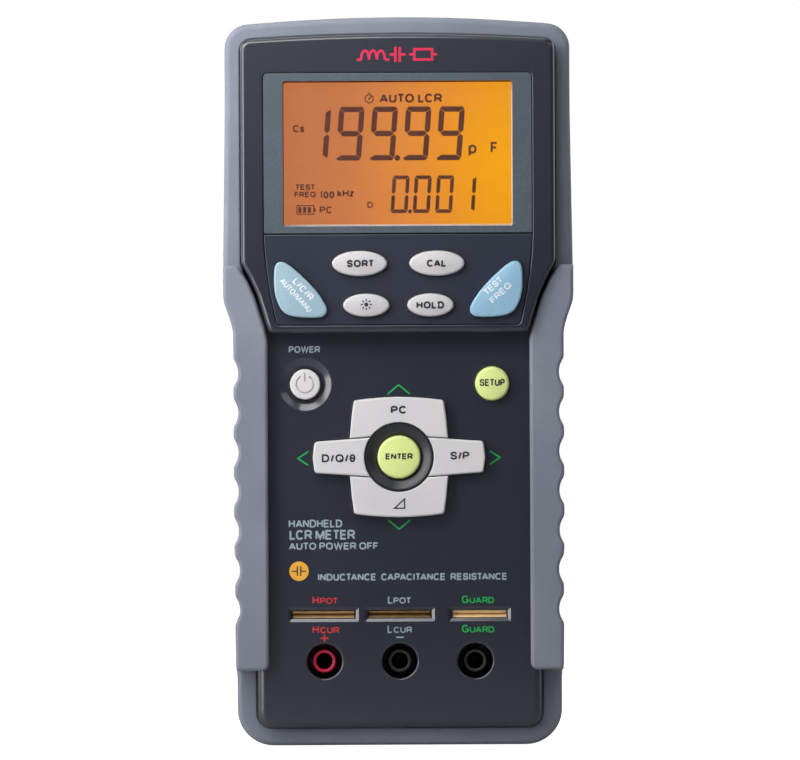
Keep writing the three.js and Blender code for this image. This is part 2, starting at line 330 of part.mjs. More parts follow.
add("rating_label", plate(box2(-13, 13, 62, 100, 1, 2), 2.7, 2.95), LABEL, cover);

// ---------- tilt stand ----------
add("tilt_stand", cut(union(plate(box2(-25.8, 25.8, 37, 123.4, 3), 0.4, 3.6, { edge: 0.5, steps: 1 }), box(-25.8, 25.8, 0.9, 3.6, 119, 123.4), rodX(STAND_PIVOT_T, STAND_PIVOT_Z, 2.2, -25.8, 25.8, 24)),
  plate(box2(-18.8, 18.8, 42.6, 115, 2), -5, 8), rodX(STAND_PIVOT_T, STAND_PIVOT_Z, 1.15, -31, 31, 24)), SHELL, stand);
add("stand_pin", rodX(STAND_PIVOT_T, STAND_PIVOT_Z, 1.0, -29.2, 29.2, 24), STEEL);

// ---------- infrared link and DC inlet ----------
add("infrared_window", box(-8.9, 8.9, 8.1, 14.9, 176.4, 179.2), DARK_RED);
add("dc_jack", cut(box(28.5, 37.2, 17.4, 26.4, 135.2, 144.8), rodX(DC_T, DC_Z, 3.0, 29.8, 40)), BLACK);
add("dc_jack_pin", rodX(DC_T, DC_Z, 0.95, 30.1, 36.6, 12), STEEL);

export default meter;
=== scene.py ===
"""Looks of the handheld LCR meter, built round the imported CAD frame.

Lengths in the helpers are millimetres: x to the right, z up the instrument, t from the holster's
back plane towards the person (Y = 21 - t). Every piece is written in metres in the row frame.
"""
import math

import bmesh
import bpy
from mathutils import Matrix, Vector


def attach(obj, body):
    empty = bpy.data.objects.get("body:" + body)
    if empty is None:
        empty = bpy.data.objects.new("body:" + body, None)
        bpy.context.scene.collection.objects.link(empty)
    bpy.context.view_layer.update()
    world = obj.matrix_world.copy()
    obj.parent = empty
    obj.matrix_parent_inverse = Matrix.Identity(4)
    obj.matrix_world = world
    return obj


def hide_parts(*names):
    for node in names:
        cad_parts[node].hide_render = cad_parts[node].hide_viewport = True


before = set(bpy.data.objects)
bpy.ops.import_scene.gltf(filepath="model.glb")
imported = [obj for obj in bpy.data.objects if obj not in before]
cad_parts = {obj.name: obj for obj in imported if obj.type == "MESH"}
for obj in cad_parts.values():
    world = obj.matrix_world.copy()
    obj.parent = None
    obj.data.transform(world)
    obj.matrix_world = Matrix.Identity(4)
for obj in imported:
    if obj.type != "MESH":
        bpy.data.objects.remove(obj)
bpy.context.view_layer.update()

SCENE = bpy.context.scene
SCENE.view_settings.view_transform = "Standard"
SCENE.view_settings.look = "None"

# ------------------------------------------------------------------ camera
cam_data = bpy.data.cameras.new("camera")
cam = bpy.data.objects.new("camera", cam_data)
SCENE.collection.objects.link(cam)
SCENE.camera = cam
CAMERA_FAR = 2.00
cam_data.sensor_width = 36.0
cam_data.lens = 36.0 * CAMERA_FAR / (800 * 0.2524e-3)
cam_data.clip_start, cam_data.clip_end = 0.05, 20.0
cam.location = (0.00036 - 0.020, -0.014 - CAMERA_FAR, 0.09233)
cam.rotation_euler = (math.pi / 2, math.radians(0.28), -math.atan(0.020 / CAMERA_FAR))

# ------------------------------------------------------------------ lights, floor
def area(name, loc, target, size, size_y, power, colour=(1, 1, 1)):
    d = bpy.data.lights.new(name, "AREA")
    d.shape, d.size, d.size_y, d.energy, d.color = "RECTANGLE", size, size_y, power, colour
    o = bpy.data.objects.new(name, d)
    o.location = loc
    o.rotation_euler = (Vector(target) - Vector(loc)).to_track_quat("-Z", "Y").to_euler()
    SCENE.collection.objects.link(o)
    return o


area("strip_left", (-0.300, -0.230, 0.13), (-0.01, 0, 0.09), 0.14, 0.45, 1.27, (1.0, 0.985, 0.98))
area("close_top", (-0.10, -0.15, 0.27), (-0.02, -0.01, 0.14), 0.26, 0.10, 0.46)
area("edge_left", (-0.40, 0.05, 0.12), (-0.03, 0, 0.10), 0.16, 0.5, 0.60)
area("edge_right", (0.42, 0.03, 0.14), (0.03, 0, 0.12), 0.16, 0.5, 0.22)
area("edge_top", (-0.02, 0.07, 0.60), (0, 0, 0.15), 0.40, 0.16, 0.55)
area("overhead", (-0.06, -0.06, 0.58), (-0.01, -0.01, 0.10), 0.50, 0.26, 0.22)
area("soft_front_left", (-0.45, -0.80, 0.55), (0, 0, 0.09), 0.60, 0.50, 0.66)
area("fill_right", (0.45, -0.55, 0.50), (0.03, 0, 0.14), 0.30, 0.40, 0.62, (0.95, 0.98, 1.0))
area("rear_left", (-0.55, 0.70, 0.45), (0, 0, 0.09), 0.6, 0.5, 3.2)
area("rear_right", (0.70, 0.55, 0.35), (0, 0, 0.09), 0.5, 0.5, 1.6, (0.95, 0.98, 1.0))

world = bpy.data.worlds.new("studio")
SCENE.world = world
world.use_nodes = True
wt = world.node_tree
wt.nodes.clear()
w_out = wt.nodes.new("ShaderNodeOutputWorld")
w_seen = wt.nodes.new("ShaderNodeBackground")
w_lit = wt.nodes.new("ShaderNodeBackground")
w_mix = wt.nodes.new("ShaderNodeMixShader")
w_path = wt.nodes.new("ShaderNodeLightPath")
w_seen.inputs[0].default_value = (1, 1, 1, 1)
w_seen.inputs[1].default_value = 1.0
w_lit.inputs[0].default_value = (0.93, 0.96, 1.0, 1)
w_lit.inputs[1].default_value = 0.062
wt.links.new(w_path.outputs["Is Camera Ray"], w_mix.inputs[0])
wt.links.new(w_lit.outputs[0], w_mix.inputs[1])
wt.links.new(w_seen.outputs[0], w_mix.inputs[2])
wt.links.new(w_mix.outputs[0], w_out.inputs[0])

# ------------------------------------------------------------------ colour helpers
def lin(r, g, b):
    f = lambda c: c / 12.92 if c <= 0.04045 else ((c + 0.055) / 1.055) ** 2.4
    return (f(r / 255), f(g / 255), f(b / 255), 1.0)


def shade(c, k):
    return (min(1, c[0] * k), min(1, c[1] * k), min(1, c[2] * k), 1.0)


class Nodes:
    """A material's node tree, with a few short-hands."""

    def __init__(self, name):
        self.mat = bpy.data.materials.new(name)
        self.mat.use_nodes = True
        self.t = self.mat.node_tree
        self.t.nodes.clear()
        self.out = self.n("ShaderNodeOutputMaterial")
        self.bsdf = self.n("ShaderNodeBsdfPrincipled")
        self.link(self.bsdf.outputs[0], self.out.inputs[0])
        self.co = self.n("ShaderNodeTexCoord").outputs["Object"]

    def n(self, kind, **props):
        node = self.t.nodes.new(kind)
        for k, v in props.items():
            setattr(node, k, v)
        return node

    def link(self, a, b):
        self.t.links.new(a, b)

    def stretched(self, sx, sy, sz):
        m = self.n("ShaderNodeMapping")
        m.inputs["Scale"].default_value = (sx, sy, sz)
        self.link(self.co, m.inputs["Vector"])
        return m.outputs[0]

    def noise(self, per_m, detail=3.0, rough=0.55, co=None, distortion=0.0):
        x = self.n("ShaderNodeTexNoise")
        x.inputs["Scale"].default_value = per_m
        x.inputs["Detail"].default_value = detail
        x.inputs["Roughness"].default_value = rough
        x.inputs["Distortion"].default_value = distortion
        self.link(co or self.co, x.inputs["Vector"])
        return x.outputs["Fac"]

    def ramp(self, fac, stops):
        r = self.n("ShaderNodeValToRGB")
        while len(r.color_ramp.elements) < len(stops):
            r.color_ramp.elements.new(0.5)
        for e, (p, c) in zip(r.color_ramp.elements, stops):
            e.position = p
            e.color = c if len(c) == 4 else (*c, 1)
        self.link(fac, r.inputs[0])
        return r.outputs[0]

    def grey(self, fac, lo, hi, a=0.3, b=0.7):
        m = self.n("ShaderNodeMapRange")
        m.inputs["From Min"].default_value, m.inputs["From Max"].default_value = a, b
        m.inputs["To Min"].default_value, m.inputs["To Max"].default_value = lo, hi
        self.link(fac, m.inputs["Value"])
        return m.outputs[0]

    def mix(self, fac, a, b, blend="MIX"):
        m = self.n("ShaderNodeMix", data_type="RGBA", blend_type=blend)
        for value, socket in ((fac, m.inputs[0]), (a, m.inputs[6]), (b, m.inputs[7])):
            if hasattr(value, "is_linked"):
                self.link(value, socket)
            else:
                socket.default_value = value
        return m.outputs[2]

    def maths(self, op, a, b=None):
        m = self.n("ShaderNodeMath", operation=op)
        for value, socket in ((a, m.inputs[0]), (b, m.inputs[1])):
            if value is None:
                continue
            if hasattr(value, "is_linked"):
                self.link(value, socket)
            else:
                socket.default_value = value
        return m.outputs[0]

    def edges(self, radius):
        """About 1 along edges and 0 on flats: how far the rounded normal turns from the true one."""
        bev = self.n("ShaderNodeBevel", samples=4)
        bev.inputs["Radius"].default_value = radius
        geo = self.n("ShaderNodeNewGeometry")
        dot = self.n("ShaderNodeVectorMath", operation="DOT_PRODUCT")
        self.link(bev.outputs[0], dot.inputs[0])
        self.link(geo.outputs["Normal"], dot.inputs[1])
        return self.grey(dot.outputs["Value"], 1.0, 0.0, 0.80, 0.985)

    def bump(self, parts, micro=0.00012):
        """parts: (height, strength, distance in metres). Edges get a hairline rounding first."""
        bev = self.n("ShaderNodeBevel", samples=4)
        bev.inputs["Radius"].default_value = micro
        last = bev.outputs[0]
        for height, strength, distance in parts:
            b = self.n("ShaderNodeBump")
            b.inputs["Strength"].default_value = strength
            b.inputs["Distance"].default_value = distance
            self.link(height, b.inputs["Height"])
            self.link(last, b.inputs["Normal"])
            last = b.outputs[0]
        self.link(last, self.bsdf.inputs["Normal"])

    def set(self, **v):
        names = {"metallic": "Metallic", "ior": "IOR", "spec": "Specular IOR Level", "sheen": "Sheen Weight", "sheen_rough": "Sheen Roughness",
                 "coat": "Coat Weight", "coat_rough": "Coat Roughness", "aniso": "Anisotropic", "transmission": "Transmission Weight", "alpha": "Alpha",
                 "rough": "Roughness", "coat_ior": "Coat IOR", "emit": "Emission Strength", "sss": "Subsurface Weight"}
        for k, x in v.items():
            self.bsdf.inputs[names[k]].default_value = x
        return self

    def colour(self, socket):
        self.link(socket, self.bsdf.inputs["Base Color"])

    def roughness(self, socket):
        self.link(socket, self.bsdf.inputs["Roughness"])


def plastic(name, c, rough=(0.42, 0.55), grain=2600, grain_height=0.000012, mottling=0.10, wear=0.25, wear_radius=0.0005, spec=0.45, tint=None, micro=0.00012, **more):
    """Moulded plastic: a fine spark-eroded grain, slow colour drift, rubbed edges and a finger-dulled gloss."""
    m = Nodes(name)
    slow, mid, fine = m.noise(42, 3), m.noise(310, 4), m.noise(grain, 3, 0.62)
    base = m.ramp(slow, [(0.30, shade(c, 1 - mottling)), (0.70, shade(tint or c, 1 + mottling))])
    base = m.mix(m.grey(mid, 0.0, 0.30), base, shade(c, 1 + 1.2 * mottling))
    base = m.mix(m.grey(fine, 0.0, 0.35, 0.45, 0.75), base, shade(c, 1 + 1.5 * mottling))
    if wear:
        e = m.maths("MULTIPLY", m.edges(wear_radius), m.grey(mid, 0.0, wear, 0.35, 0.62))
        base = m.mix(e, base, (min(1, c[0] * 1.9 + 0.03), min(1, c[1] * 1.9 + 0.03), min(1, c[2] * 1.9 + 0.03), 1))
    m.colour(base)
    m.roughness(m.maths("ADD", m.grey(slow, rough[0], rough[1]), m.grey(fine, -0.05, 0.07)))
    m.bump([(m.noise(grain * 0.33, 2), 0.35, grain_height * 1.4), (fine, 0.5, grain_height)], micro)
    m.set(spec=spec, **more)
    return m.mat


MAT = {}


def build_materials():
    # Holster: soft elastomer, blue-grey, with a dusty bloom and finger-polished crests
    m = Nodes("holster_rubber")
    c = lin(120, 125, 138)
    slow, blot, fine, pits = m.noise(26, 4, 0.6), m.noise(150, 5, 0.6), m.noise(1900, 4, 0.65), m.n("ShaderNodeTexVoronoi")
    pits.inputs["Scale"].default_value = 2300
    m.link(m.co, pits.inputs["Vector"])
    base = m.ramp(slow, [(0.28, shade(c, 0.90)), (0.5, c), (0.72, shade(lin(128, 131, 142), 1.06))])
    base = m.mix(m.grey(blot, 0.0, 0.22, 0.45, 0.75), base, shade(c, 1.20))
    base = m.mix(m.grey(fine, 0.0, 0.25, 0.5, 0.8), base, shade(c, 0.78))
    edge = m.maths("MULTIPLY", m.edges(0.0009), m.grey(blot, 0.05, 0.55, 0.38, 0.62))
    base = m.mix(edge, base, shade(lin(150, 153, 164), 1.1))
    m.colour(base)
    m.roughness(m.maths("ADD", m.grey(blot, 0.50, 0.64), m.grey(fine, -0.05, 0.06)))
    m.bump([(slow, 0.25, 0.00025), (m.noise(620, 3), 0.4, 0.000030), (fine, 0.55, 0.000022), (pits.outputs["Distance"], 0.25, 0.000016)], 0.0003)
    m.set(spec=0.38, sheen=0.10, sheen_rough=0.5)
    MAT["holster"] = m.mat

    MAT["case"] = plastic("case_plastic", lin(23, 28, 44), (0.42, 0.48), 2400, 0.000003, 0.05, 0.0, spec=0.50, micro=0.00015, coat=0.55, coat_rough=0.15, coat_ior=1.8)
    MAT["fascia"] = plastic("fascia_plastic", lin(32, 37, 53), (0.42, 0.48), 3000, 0.000003, 0.05, 0.0, spec=0.5, micro=0.00015, coat=0.45, coat_rough=0.18, coat_ior=1.7)
    MAT["well"] = plastic("well_plastic", lin(34, 36, 41), (0.30, 0.42), 3200, 0.000006, 0.07, 0.05, spec=0.5)
    MAT["key_white"] = plastic("key_white_plastic", lin(207, 205, 208), (0.30, 0.40), 2600, 0.000006, 0.035, 0.0, spec=0.45, tint=lin(210, 208, 208), micro=0.0002)
    # the head's keys: the same white plastic as the other keys, a little darker, as painted shade
    MAT["key_white_head"] = plastic("key_white_painted_shade_plastic", lin(194, 192, 195), (0.30, 0.40), 2600, 0.000006, 0.035, 0.0, spec=0.45, tint=lin(197, 195, 195), micro=0.0002)
    MAT["key_green"] = plastic("key_green_plastic", lin(218, 232, 148), (0.28, 0.38), 2600, 0.000006, 0.045, 0.0, spec=0.45, micro=0.0002)
    MAT["key_blue_left"] = plastic("key_teal_plastic", lin(151, 178, 191), (0.26, 0.34), 2600, 0.000005, 0.05, 0.0, spec=0.45, micro=0.0002)
    MAT["key_blue_right"] = plastic("key_blue_plastic", lin(144, 184, 209), (0.26, 0.34), 2600, 0.000005, 0.05, 0.0, spec=0.45, micro=0.0002)
    MAT["border"] = plastic("window_border_print", lin(80, 89, 97), (0.20, 0.26), 4200, 0.0000012, 0.025, 0.0, spec=0.5, tint=lin(82, 92, 101), micro=0.00015)
    MAT["frame_white"] = plastic("frame_white_plastic", lin(214, 214, 212), (0.45, 0.55), 2600, 0.000008, 0.04, 0.0)
    # dark strip for the display shelf's top and left sides: painted shade, the shadow of the window's border
    MAT["shelf_painted_shade"] = plastic("display_shelf_painted_shade_plastic", lin(40, 46, 54), (0.5, 0.6), 2000, 0.000008, 0.08, 0.0, spec=0.3)
    MAT["black"] = plastic("black_plastic", lin(34, 34, 38), (0.32, 0.45), 2600, 0.000008, 0.12, 0.15, spec=0.45)
    MAT["red"] = plastic("crimson_plastic", lin(176, 26, 62), (0.30, 0.42), 2600, 0.000008, 0.10, 0.15, spec=0.5)
    MAT["silicone"] = plastic("silicone_rubber", lin(150, 152, 156), (0.55, 0.68), 1500, 0.000014, 0.06, 0.0, spec=0.35)
    MAT["battery"] = plastic("battery_foil_wrap", lin(46, 66, 128), (0.22, 0.34), 700, 0.000006, 0.10, 0.3, spec=0.5, coat=0.4, coat_rough=0.15)
    MAT["infrared"] = plastic("infrared_filter", lin(58, 8, 16), (0.08, 0.16), 500, 0.000002, 0.15, 0.0, spec=0.6, coat=0.5, coat_rough=0.05)

    # Paper-and-film label, with faint fibres
    m = Nodes("label_film")
    fib = m.noise(900, 5, 0.7, m.stretched(1.0, 1.0, 0.25))
    m.colour(m.ramp(fib, [(0.35, lin(168, 172, 178)), (0.65, lin(186, 189, 193))]))
    m.roughness(m.grey(m.noise(200), 0.30, 0.42))
    m.bump([(fib, 0.3, 0.000006)])
    MAT["label"] = m.mat

    # Circuit board: solder mask with the weave of the glass cloth and faint copper tracks
    m = Nodes("board_solder_mask")
    weave = m.n("ShaderNodeTexWave", wave_type="BANDS", bands_direction="X")
    weave.inputs["Scale"].default_value = 620
    m.link(m.co, weave.inputs["Vector"])
    tracks = m.n("ShaderNodeTexBrick")
    tracks.inputs["Scale"].default_value = 150
    m.link(m.stretched(1, 1, 1), tracks.inputs["Vector"])
    base = m.mix(m.grey(m.noise(60), 0.1, 0.6), lin(16, 74, 44), lin(26, 96, 58))
    m.colour(m.mix(m.grey(tracks.outputs["Fac"], 0.0, 0.5, 0.2, 0.8), base, lin(44, 128, 74)))
    m.roughness(m.grey(m.noise(300), 0.25, 0.45))
    m.bump([(weave.outputs["Fac"], 0.2, 0.00001), (tracks.outputs["Fac"], 0.4, 0.00003)])
    MAT["board"] = m.mat

    # Brass: rolled contact strip, drawn along its length, a little tarnished
    def metal(name, c, dark, rough, co_scale, tarnish):
        m = Nodes(name)
        lines = m.noise(900, 3, 0.6, m.stretched(*co_scale))
        spots = m.noise(420, 5, 0.62)
        base = m.mix(m.grey(lines, 0.0, 0.55), c, shade(c, 0.82))
        m.colour(m.mix(m.grey(spots, 0.0, tarnish, 0.45, 0.72), base, dark))
        m.roughness(m.maths("ADD", m.grey(lines, rough[0], rough[1]), m.grey(spots, 0.0, 0.12, 0.45, 0.75)))
        m.bump([(lines, 0.35, 0.000012)])
        m.set(metallic=1.0)
        return m.mat

    # The slots' blades are one brass in three brightnesses: darker in the high slot, darker still in the low one,
    # brightest and less metallic in the guard slot. The darker copies are painted shade, the bright one painted light.
    MAT["brass"] = metal("brass_contact", lin(228, 200, 160), lin(146, 118, 84), (0.34, 0.46), (0.05, 1, 3.0), 0.4)
    MAT["brass_bright"] = metal("brass_contact_painted_light", lin(255, 228, 182), lin(236, 200, 146), (0.46, 0.58), (0.05, 1, 3.0), 0.2)
    MAT["brass_low"] = metal("brass_contact_shaded", lin(204, 178, 140), lin(126, 100, 70), (0.34, 0.46), (0.05, 1, 3.0), 0.5)
    MAT["brass_bright"].node_tree.nodes["Principled BSDF"].inputs["Metallic"].default_value = 0.6
    # contact tube deep in the socket: brass darkened heavily, painted shade for the depth of the bore
    MAT["brass_deep_shade"] = metal("brass_tube_painted_shade", lin(104, 80, 56), lin(48, 38, 30), (0.42, 0.58), (1, 0.1, 1), 0.8)
    MAT["steel"] = metal("zinc_steel", lin(190, 191, 196), lin(120, 118, 116), (0.26, 0.40), (1, 1, 1), 0.4)

    # Printing inks: a matt film that lets a little of the surface's grain through
    for key, c in {"ink_dark": lin(44, 44, 48), "ink_pale": lin(150, 166, 174), "ink_white": lin(226, 232, 238), "ink_red": lin(206, 52, 58), "ink_crimson": lin(204, 36, 74),
                   "ink_green": lin(28, 170, 82), "ink_amber": lin(232, 170, 60)}.items():
        m = Nodes(key)
        n = m.noise(2400, 4, 0.6)
        m.colour(m.ramp(n, [(0.3, shade(c, 0.90)), (0.7, shade(c, 1.06))]))
        m.roughness(m.grey(n, 0.42, 0.58))
        m.bump([(n, 0.3, 0.000006)], 0.00003)
        m.set(spec=0.35)
        MAT[key] = m.mat

    # Display: amber backlight, dull at the left and bright where the lamp sits at the right
    m = Nodes("display_backlight")
    sep = m.n("ShaderNodeSeparateXYZ")
    m.link(m.co, sep.inputs[0])
    across = m.n("ShaderNodeMapRange")
    across.inputs["From Min"].default_value, across.inputs["From Max"].default_value = -0.029, 0.029
    m.link(sep.outputs["X"], across.inputs["Value"])
    lamp = m.n("ShaderNodeVectorMath", operation="DISTANCE")
    flat = m.n("ShaderNodeCombineXYZ")
    m.link(sep.outputs["X"], flat.inputs["X"])
    m.link(m.maths("MULTIPLY", sep.outputs["Z"], 0.75), flat.inputs["Z"])
    m.link(flat.outputs[0], lamp.inputs[0])
    lamp.inputs[1].default_value = (0.0265, 0, 0.147 * 0.75)
    near = m.grey(lamp.outputs["Value"], 1.0, 0.0, 0.0, 0.050)
    drift = m.maths("ADD", m.maths("ADD", m.maths("MULTIPLY", near, 0.80), m.maths("MULTIPLY", across.outputs[0], 0.20)), m.grey(m.noise(60, 2), -0.015, 0.015))
    glow = m.ramp(drift, [(0.0, lin(196, 115, 70)), (0.22, lin(204, 121, 70)), (0.46, lin(224, 136, 60)), (0.66, lin(236, 146, 40)), (0.84, lin(244, 160, 14)), (1.0, lin(250, 168, 6))])
    m.colour(m.mix(m.noise(80), lin(40, 24, 12), lin(52, 30, 14)))
    m.link(glow, m.bsdf.inputs["Emission Color"])
    m.set(emit=1.0, rough=0.4, spec=0.2)
    m.bump([(m.noise(3000), 0.1, 0.000003)])
    MAT["glow"] = m.mat

    # display segments: dark brown with a faint glow, painted light so they don't depend on the lamps
    m = Nodes("display_segment")
    n = m.noise(700, 2)
    m.colour(m.mix(n, lin(70, 40, 34), lin(84, 48, 38)))
    m.link(m.mix(n, lin(88, 50, 42), lin(96, 56, 44)), m.bsdf.inputs["Emission Color"])
    m.set(emit=0.55, rough=0.5, spec=0.1)
    m.bump([(n, 0.1, 0.000002)])
    MAT["segment"] = m.mat

    # Clear window over the display: thin, nearly invisible, with a fresnel gloss
    m = Nodes("display_pane")
    n = m.noise(500, 3)
    m.colour(m.mix(n, (0.92, 0.95, 0.97, 1), (0.96, 0.98, 1.0, 1)))
    m.roughness(m.grey(n, 0.03, 0.08))
    m.bump([(n, 0.1, 0.000002)])
    m.set(transmission=1.0, ior=1.18)
    MAT["pane"] = m.mat

    m = Nodes("pale_floor")
    n = m.noise(3, 3)
    m.colour(m.ramp(n, [(0.3, (0.44, 0.44, 0.45)), (0.7, (0.47, 0.47, 0.48))]))
    m.roughness(m.grey(n, 0.75, 0.9))
    m.link(m.ramp(n, [(0.3, (0.99, 0.99, 0.99)), (0.7, (1.0, 1.0, 1.0))]), m.bsdf.inputs["Emission Color"])
    m.link(m.maths("MULTIPLY", m.n("ShaderNodeLightPath").outputs["Is Camera Ray"], 1.0), m.bsdf.inputs["Emission Strength"])
    m.set(spec=0.10)
    MAT["floor"] = m.mat


build_materials()

# swept studio backdrop: floor, a wide curve, wall
profile = [(-3.0, -0.0004), (0.0, -0.0004), (1.2, -0.0004)] + [(1.2 + 1.0 * math.sin(a), 1.0 - 1.0 * math.cos(a) - 0.0004) for a in (math.pi / 2 * k / 24 for k in range(1, 25))] + [(2.2, 3.5)]
bm = bmesh.new()
rows = [[bm.verts.new((x, y, z)) for x in (-3.5, -1.2, 0.0, 1.2, 3.5)] for y, z in profile]
for ra, rb in zip(rows, rows[1:]):
    for k in range(4):
        bm.faces.new((ra[k], ra[k + 1], rb[k + 1], rb[k])).smooth = True
bmesh.ops.recalc_face_normals(bm, faces=bm.faces)
floor_mesh = bpy.data.meshes.new("floor")
bm.to_mesh(floor_mesh)
bm.free()
floor = bpy.data.objects.new("floor", floor_mesh)
floor_mesh.materials.append(MAT["floor"])
SCENE.collection.objects.link(floor)

# ------------------------------------------------------------------ outline helpers, mm
T_MID = 21.0


def P(x, z, t):
    return (x * 0.001, (T_MID - t) * 0.001, z * 0.001)


def mirror(half):
    return half + [(-p[0], *p[1:]) for p in reversed(half) if abs(p[0]) > 1e-9]


def rounded(corners, arc=7):
    out, n = [], len(corners)
    for i in range(n):
        x, z = corners[i][0], corners[i][1]
        r = corners[i][2] if len(corners[i]) > 2 else 0
        if not r:
            out.append((x, z))
            continue
        a, b = corners[i - 1], corners[(i + 1) % n]
        u, v = Vector((a[0] - x, a[1] - z)).normalized(), Vector((b[0] - x, b[1] - z)).normalized()
        half = math.acos(max(-1, min(1, u.dot(v)))) / 2
        d, m = r / math.tan(half), (u + v).normalized() * (r / math.sin(half))
        cx, cz = x + m.x, z + m.y
        a0 = math.atan2(z + u.y * d - cz, x + u.x * d - cx)
        da = math.atan2(z + v.y * d - cz, x + v.x * d - cx) - a0
        while da > math.pi:
            da -= 2 * math.pi
        while da < -math.pi:
            da += 2 * math.pi
        out += [(cx + r * math.cos(a0 + da * k / arc), cz + r * math.sin(a0 + da * k / arc)) for k in range(arc + 1)]
    return out


def signed_area(p):
    return sum(p[i][0] * p[(i + 1) % len(p)][1] - p[(i + 1) % len(p)][0] * p[i][1] for i in range(len(p))) / 2


def clean(p, gap=2e-3):
    p = list(p) if signed_area(p) > 0 else list(reversed(p))
    return [q for i, q in enumerate(p) if math.dist(q, p[(i + 1) % len(p)]) > gap]


def offset(p, d):
    """p is clean() already; the count of points stays the same."""
    out, n = [], len(p)
    for i in range(n):
        (ax, az), (x, z), (bx, bz) = p[i - 1], p[i], p[(i + 1) % n]
        u, v = Vector((x - ax, z - az)).normalized(), Vector((bx - x, bz - z)).normalized()
        m = Vector((u.y + v.y, -u.x - v.x)).normalized()
        c = max(0.35, m.x * u.y - m.y * u.x)
        out.append((x + m.x * d / c, z + m.y * d / c))
    return out


def circle(x, z, r, n=48):
    return [(x + r * math.cos(2 * math.pi * i / n), z + r * math.sin(2 * math.pi * i / n)) for i in range(n)]


def ellipse(x, z, a, b, n=56):
    return [(x + a * math.cos(2 * math.pi * i / n), z + b * math.sin(2 * math.pi * i / n)) for i in range(n)]


def rect(x0, x1, z0, z1, r=0.0, arc=5):
    return rounded([(x0, z0, r), (x1, z0, r), (x1, z1, r), (x0, z1, r)], arc)


def closed_curve(pts, n):
    """Closed Catmull-Rom curve through pts."""
    out, m = [], len(pts)
    for i in range(n):
        f = i * m / n
        k, s = int(f), f - int(f)
        p0, p1, p2, p3 = (pts[(k + j - 1) % m] for j in range(4))
        out.append(tuple(0.5 * (2 * p1[c] + (p2[c] - p0[c]) * s + (2 * p0[c] - 5 * p1[c] + 4 * p2[c] - p3[c]) * s * s + (3 * p1[c] - p0[c] - 3 * p2[c] + p3[c]) * s ** 3) for c in (0, 1)))
    return out


def soften(p, step=0.35, sigma=0.45, keep=0.004):
    """Outline walked at even steps, its corners eased, then thinned where it is straight."""
    p = clean(p)
    dense = []
    for i in range(len(p)):
        a, b = p[i], p[(i + 1) % len(p)]
        k = max(1, round(math.dist(a, b) / step))
        dense += [(a[0] + (b[0] - a[0]) * j / k, a[1] + (b[1] - a[1]) * j / k) for j in range(k)]
    reach = max(1, int(2.5 * sigma / step))
    weight = [math.exp(-0.5 * (j * step / sigma) ** 2) for j in range(-reach, reach + 1)]
    n, total = len(dense), sum(weight)
    eased = [tuple(sum(w * dense[(i + j - reach) % n][c] for j, w in enumerate(weight)) / total for c in (0, 1)) for i in range(n)]
    out, last = [], 0
    out.append(eased[0])
    for i in range(1, n):
        a, q, b = Vector(eased[last]), Vector(eased[i]), Vector(eased[(i + 1) % n])
        chord = b - a
        dev = abs((q - a).cross(chord)) / max(1e-9, chord.length)
        if dev > keep or (q - a).length > 6:
            out.append(eased[i])
            last = i
    return out


# ------------------------------------------------------------------ solid helpers
def make(name, verts, faces, mat=None):
    mesh = bpy.data.meshes.new(name)
    mesh.from_pydata(verts, [], faces)
    b = bmesh.new()
    b.from_mesh(mesh)
    bmesh.ops.remove_doubles(b, verts=b.verts, dist=1e-8)
    bmesh.ops.recalc_face_normals(b, faces=b.faces)
    if b.calc_volume(signed=True) < 0:
        bmesh.ops.reverse_faces(b, faces=b.faces)
    b.to_mesh(mesh)
    b.free()
    o = bpy.data.objects.new(name, mesh)
    SCENE.collection.objects.link(o)
    if mat:
        mesh.materials.append(MAT[mat])
    return o


def stack(name, rings, mat=None):
    """Closed solid through rings [(points, t), ...] that all have the same count."""
    n, verts, faces = len(rings[0][0]), [], []
    for pts, t in rings:
        verts += [P(x, z, t) for x, z in pts]
    for k in range(len(rings) - 1):
        for i in range(n):
            j = (i + 1) % n
            faces.append((k * n + i, k * n + j, (k + 1) * n + j, (k + 1) * n + i))
    faces.append(tuple(range(n - 1, -1, -1)))
    faces.append(tuple((len(rings) - 1) * n + i for i in range(n)))
    return make(name, verts, faces, mat)


def plate(name, pts, t0, t1, top=0.0, bottom=0.0, seg=5, mat=None):
    """Slab with both rims rounded: positive radii round them off, negative ones flare them out, as a cutter's do."""
    base, rings = clean(pts), []
    if bottom:
        for k in range(seg + 1):
            a = math.pi / 2 * k / seg
            rings.append((offset(base, -bottom * (1 - math.sin(a))), t0 + abs(bottom) * (1 - math.cos(a))))
    else:
        rings.append((base, t0))
    if top:
        for k in range(seg + 1):
            a = math.pi / 2 * k / seg
            rings.append((offset(base, -top * (1 - math.cos(a))), t1 - abs(top) + abs(top) * math.sin(a)))
        if top < 0:
            rings.append((rings[-1][0], t1 + 8))
    else:
        rings.append((base, t1))
    if bottom < 0:
        rings.insert(0, (rings[0][0], t0 - 8))
    return stack(name, rings, mat)


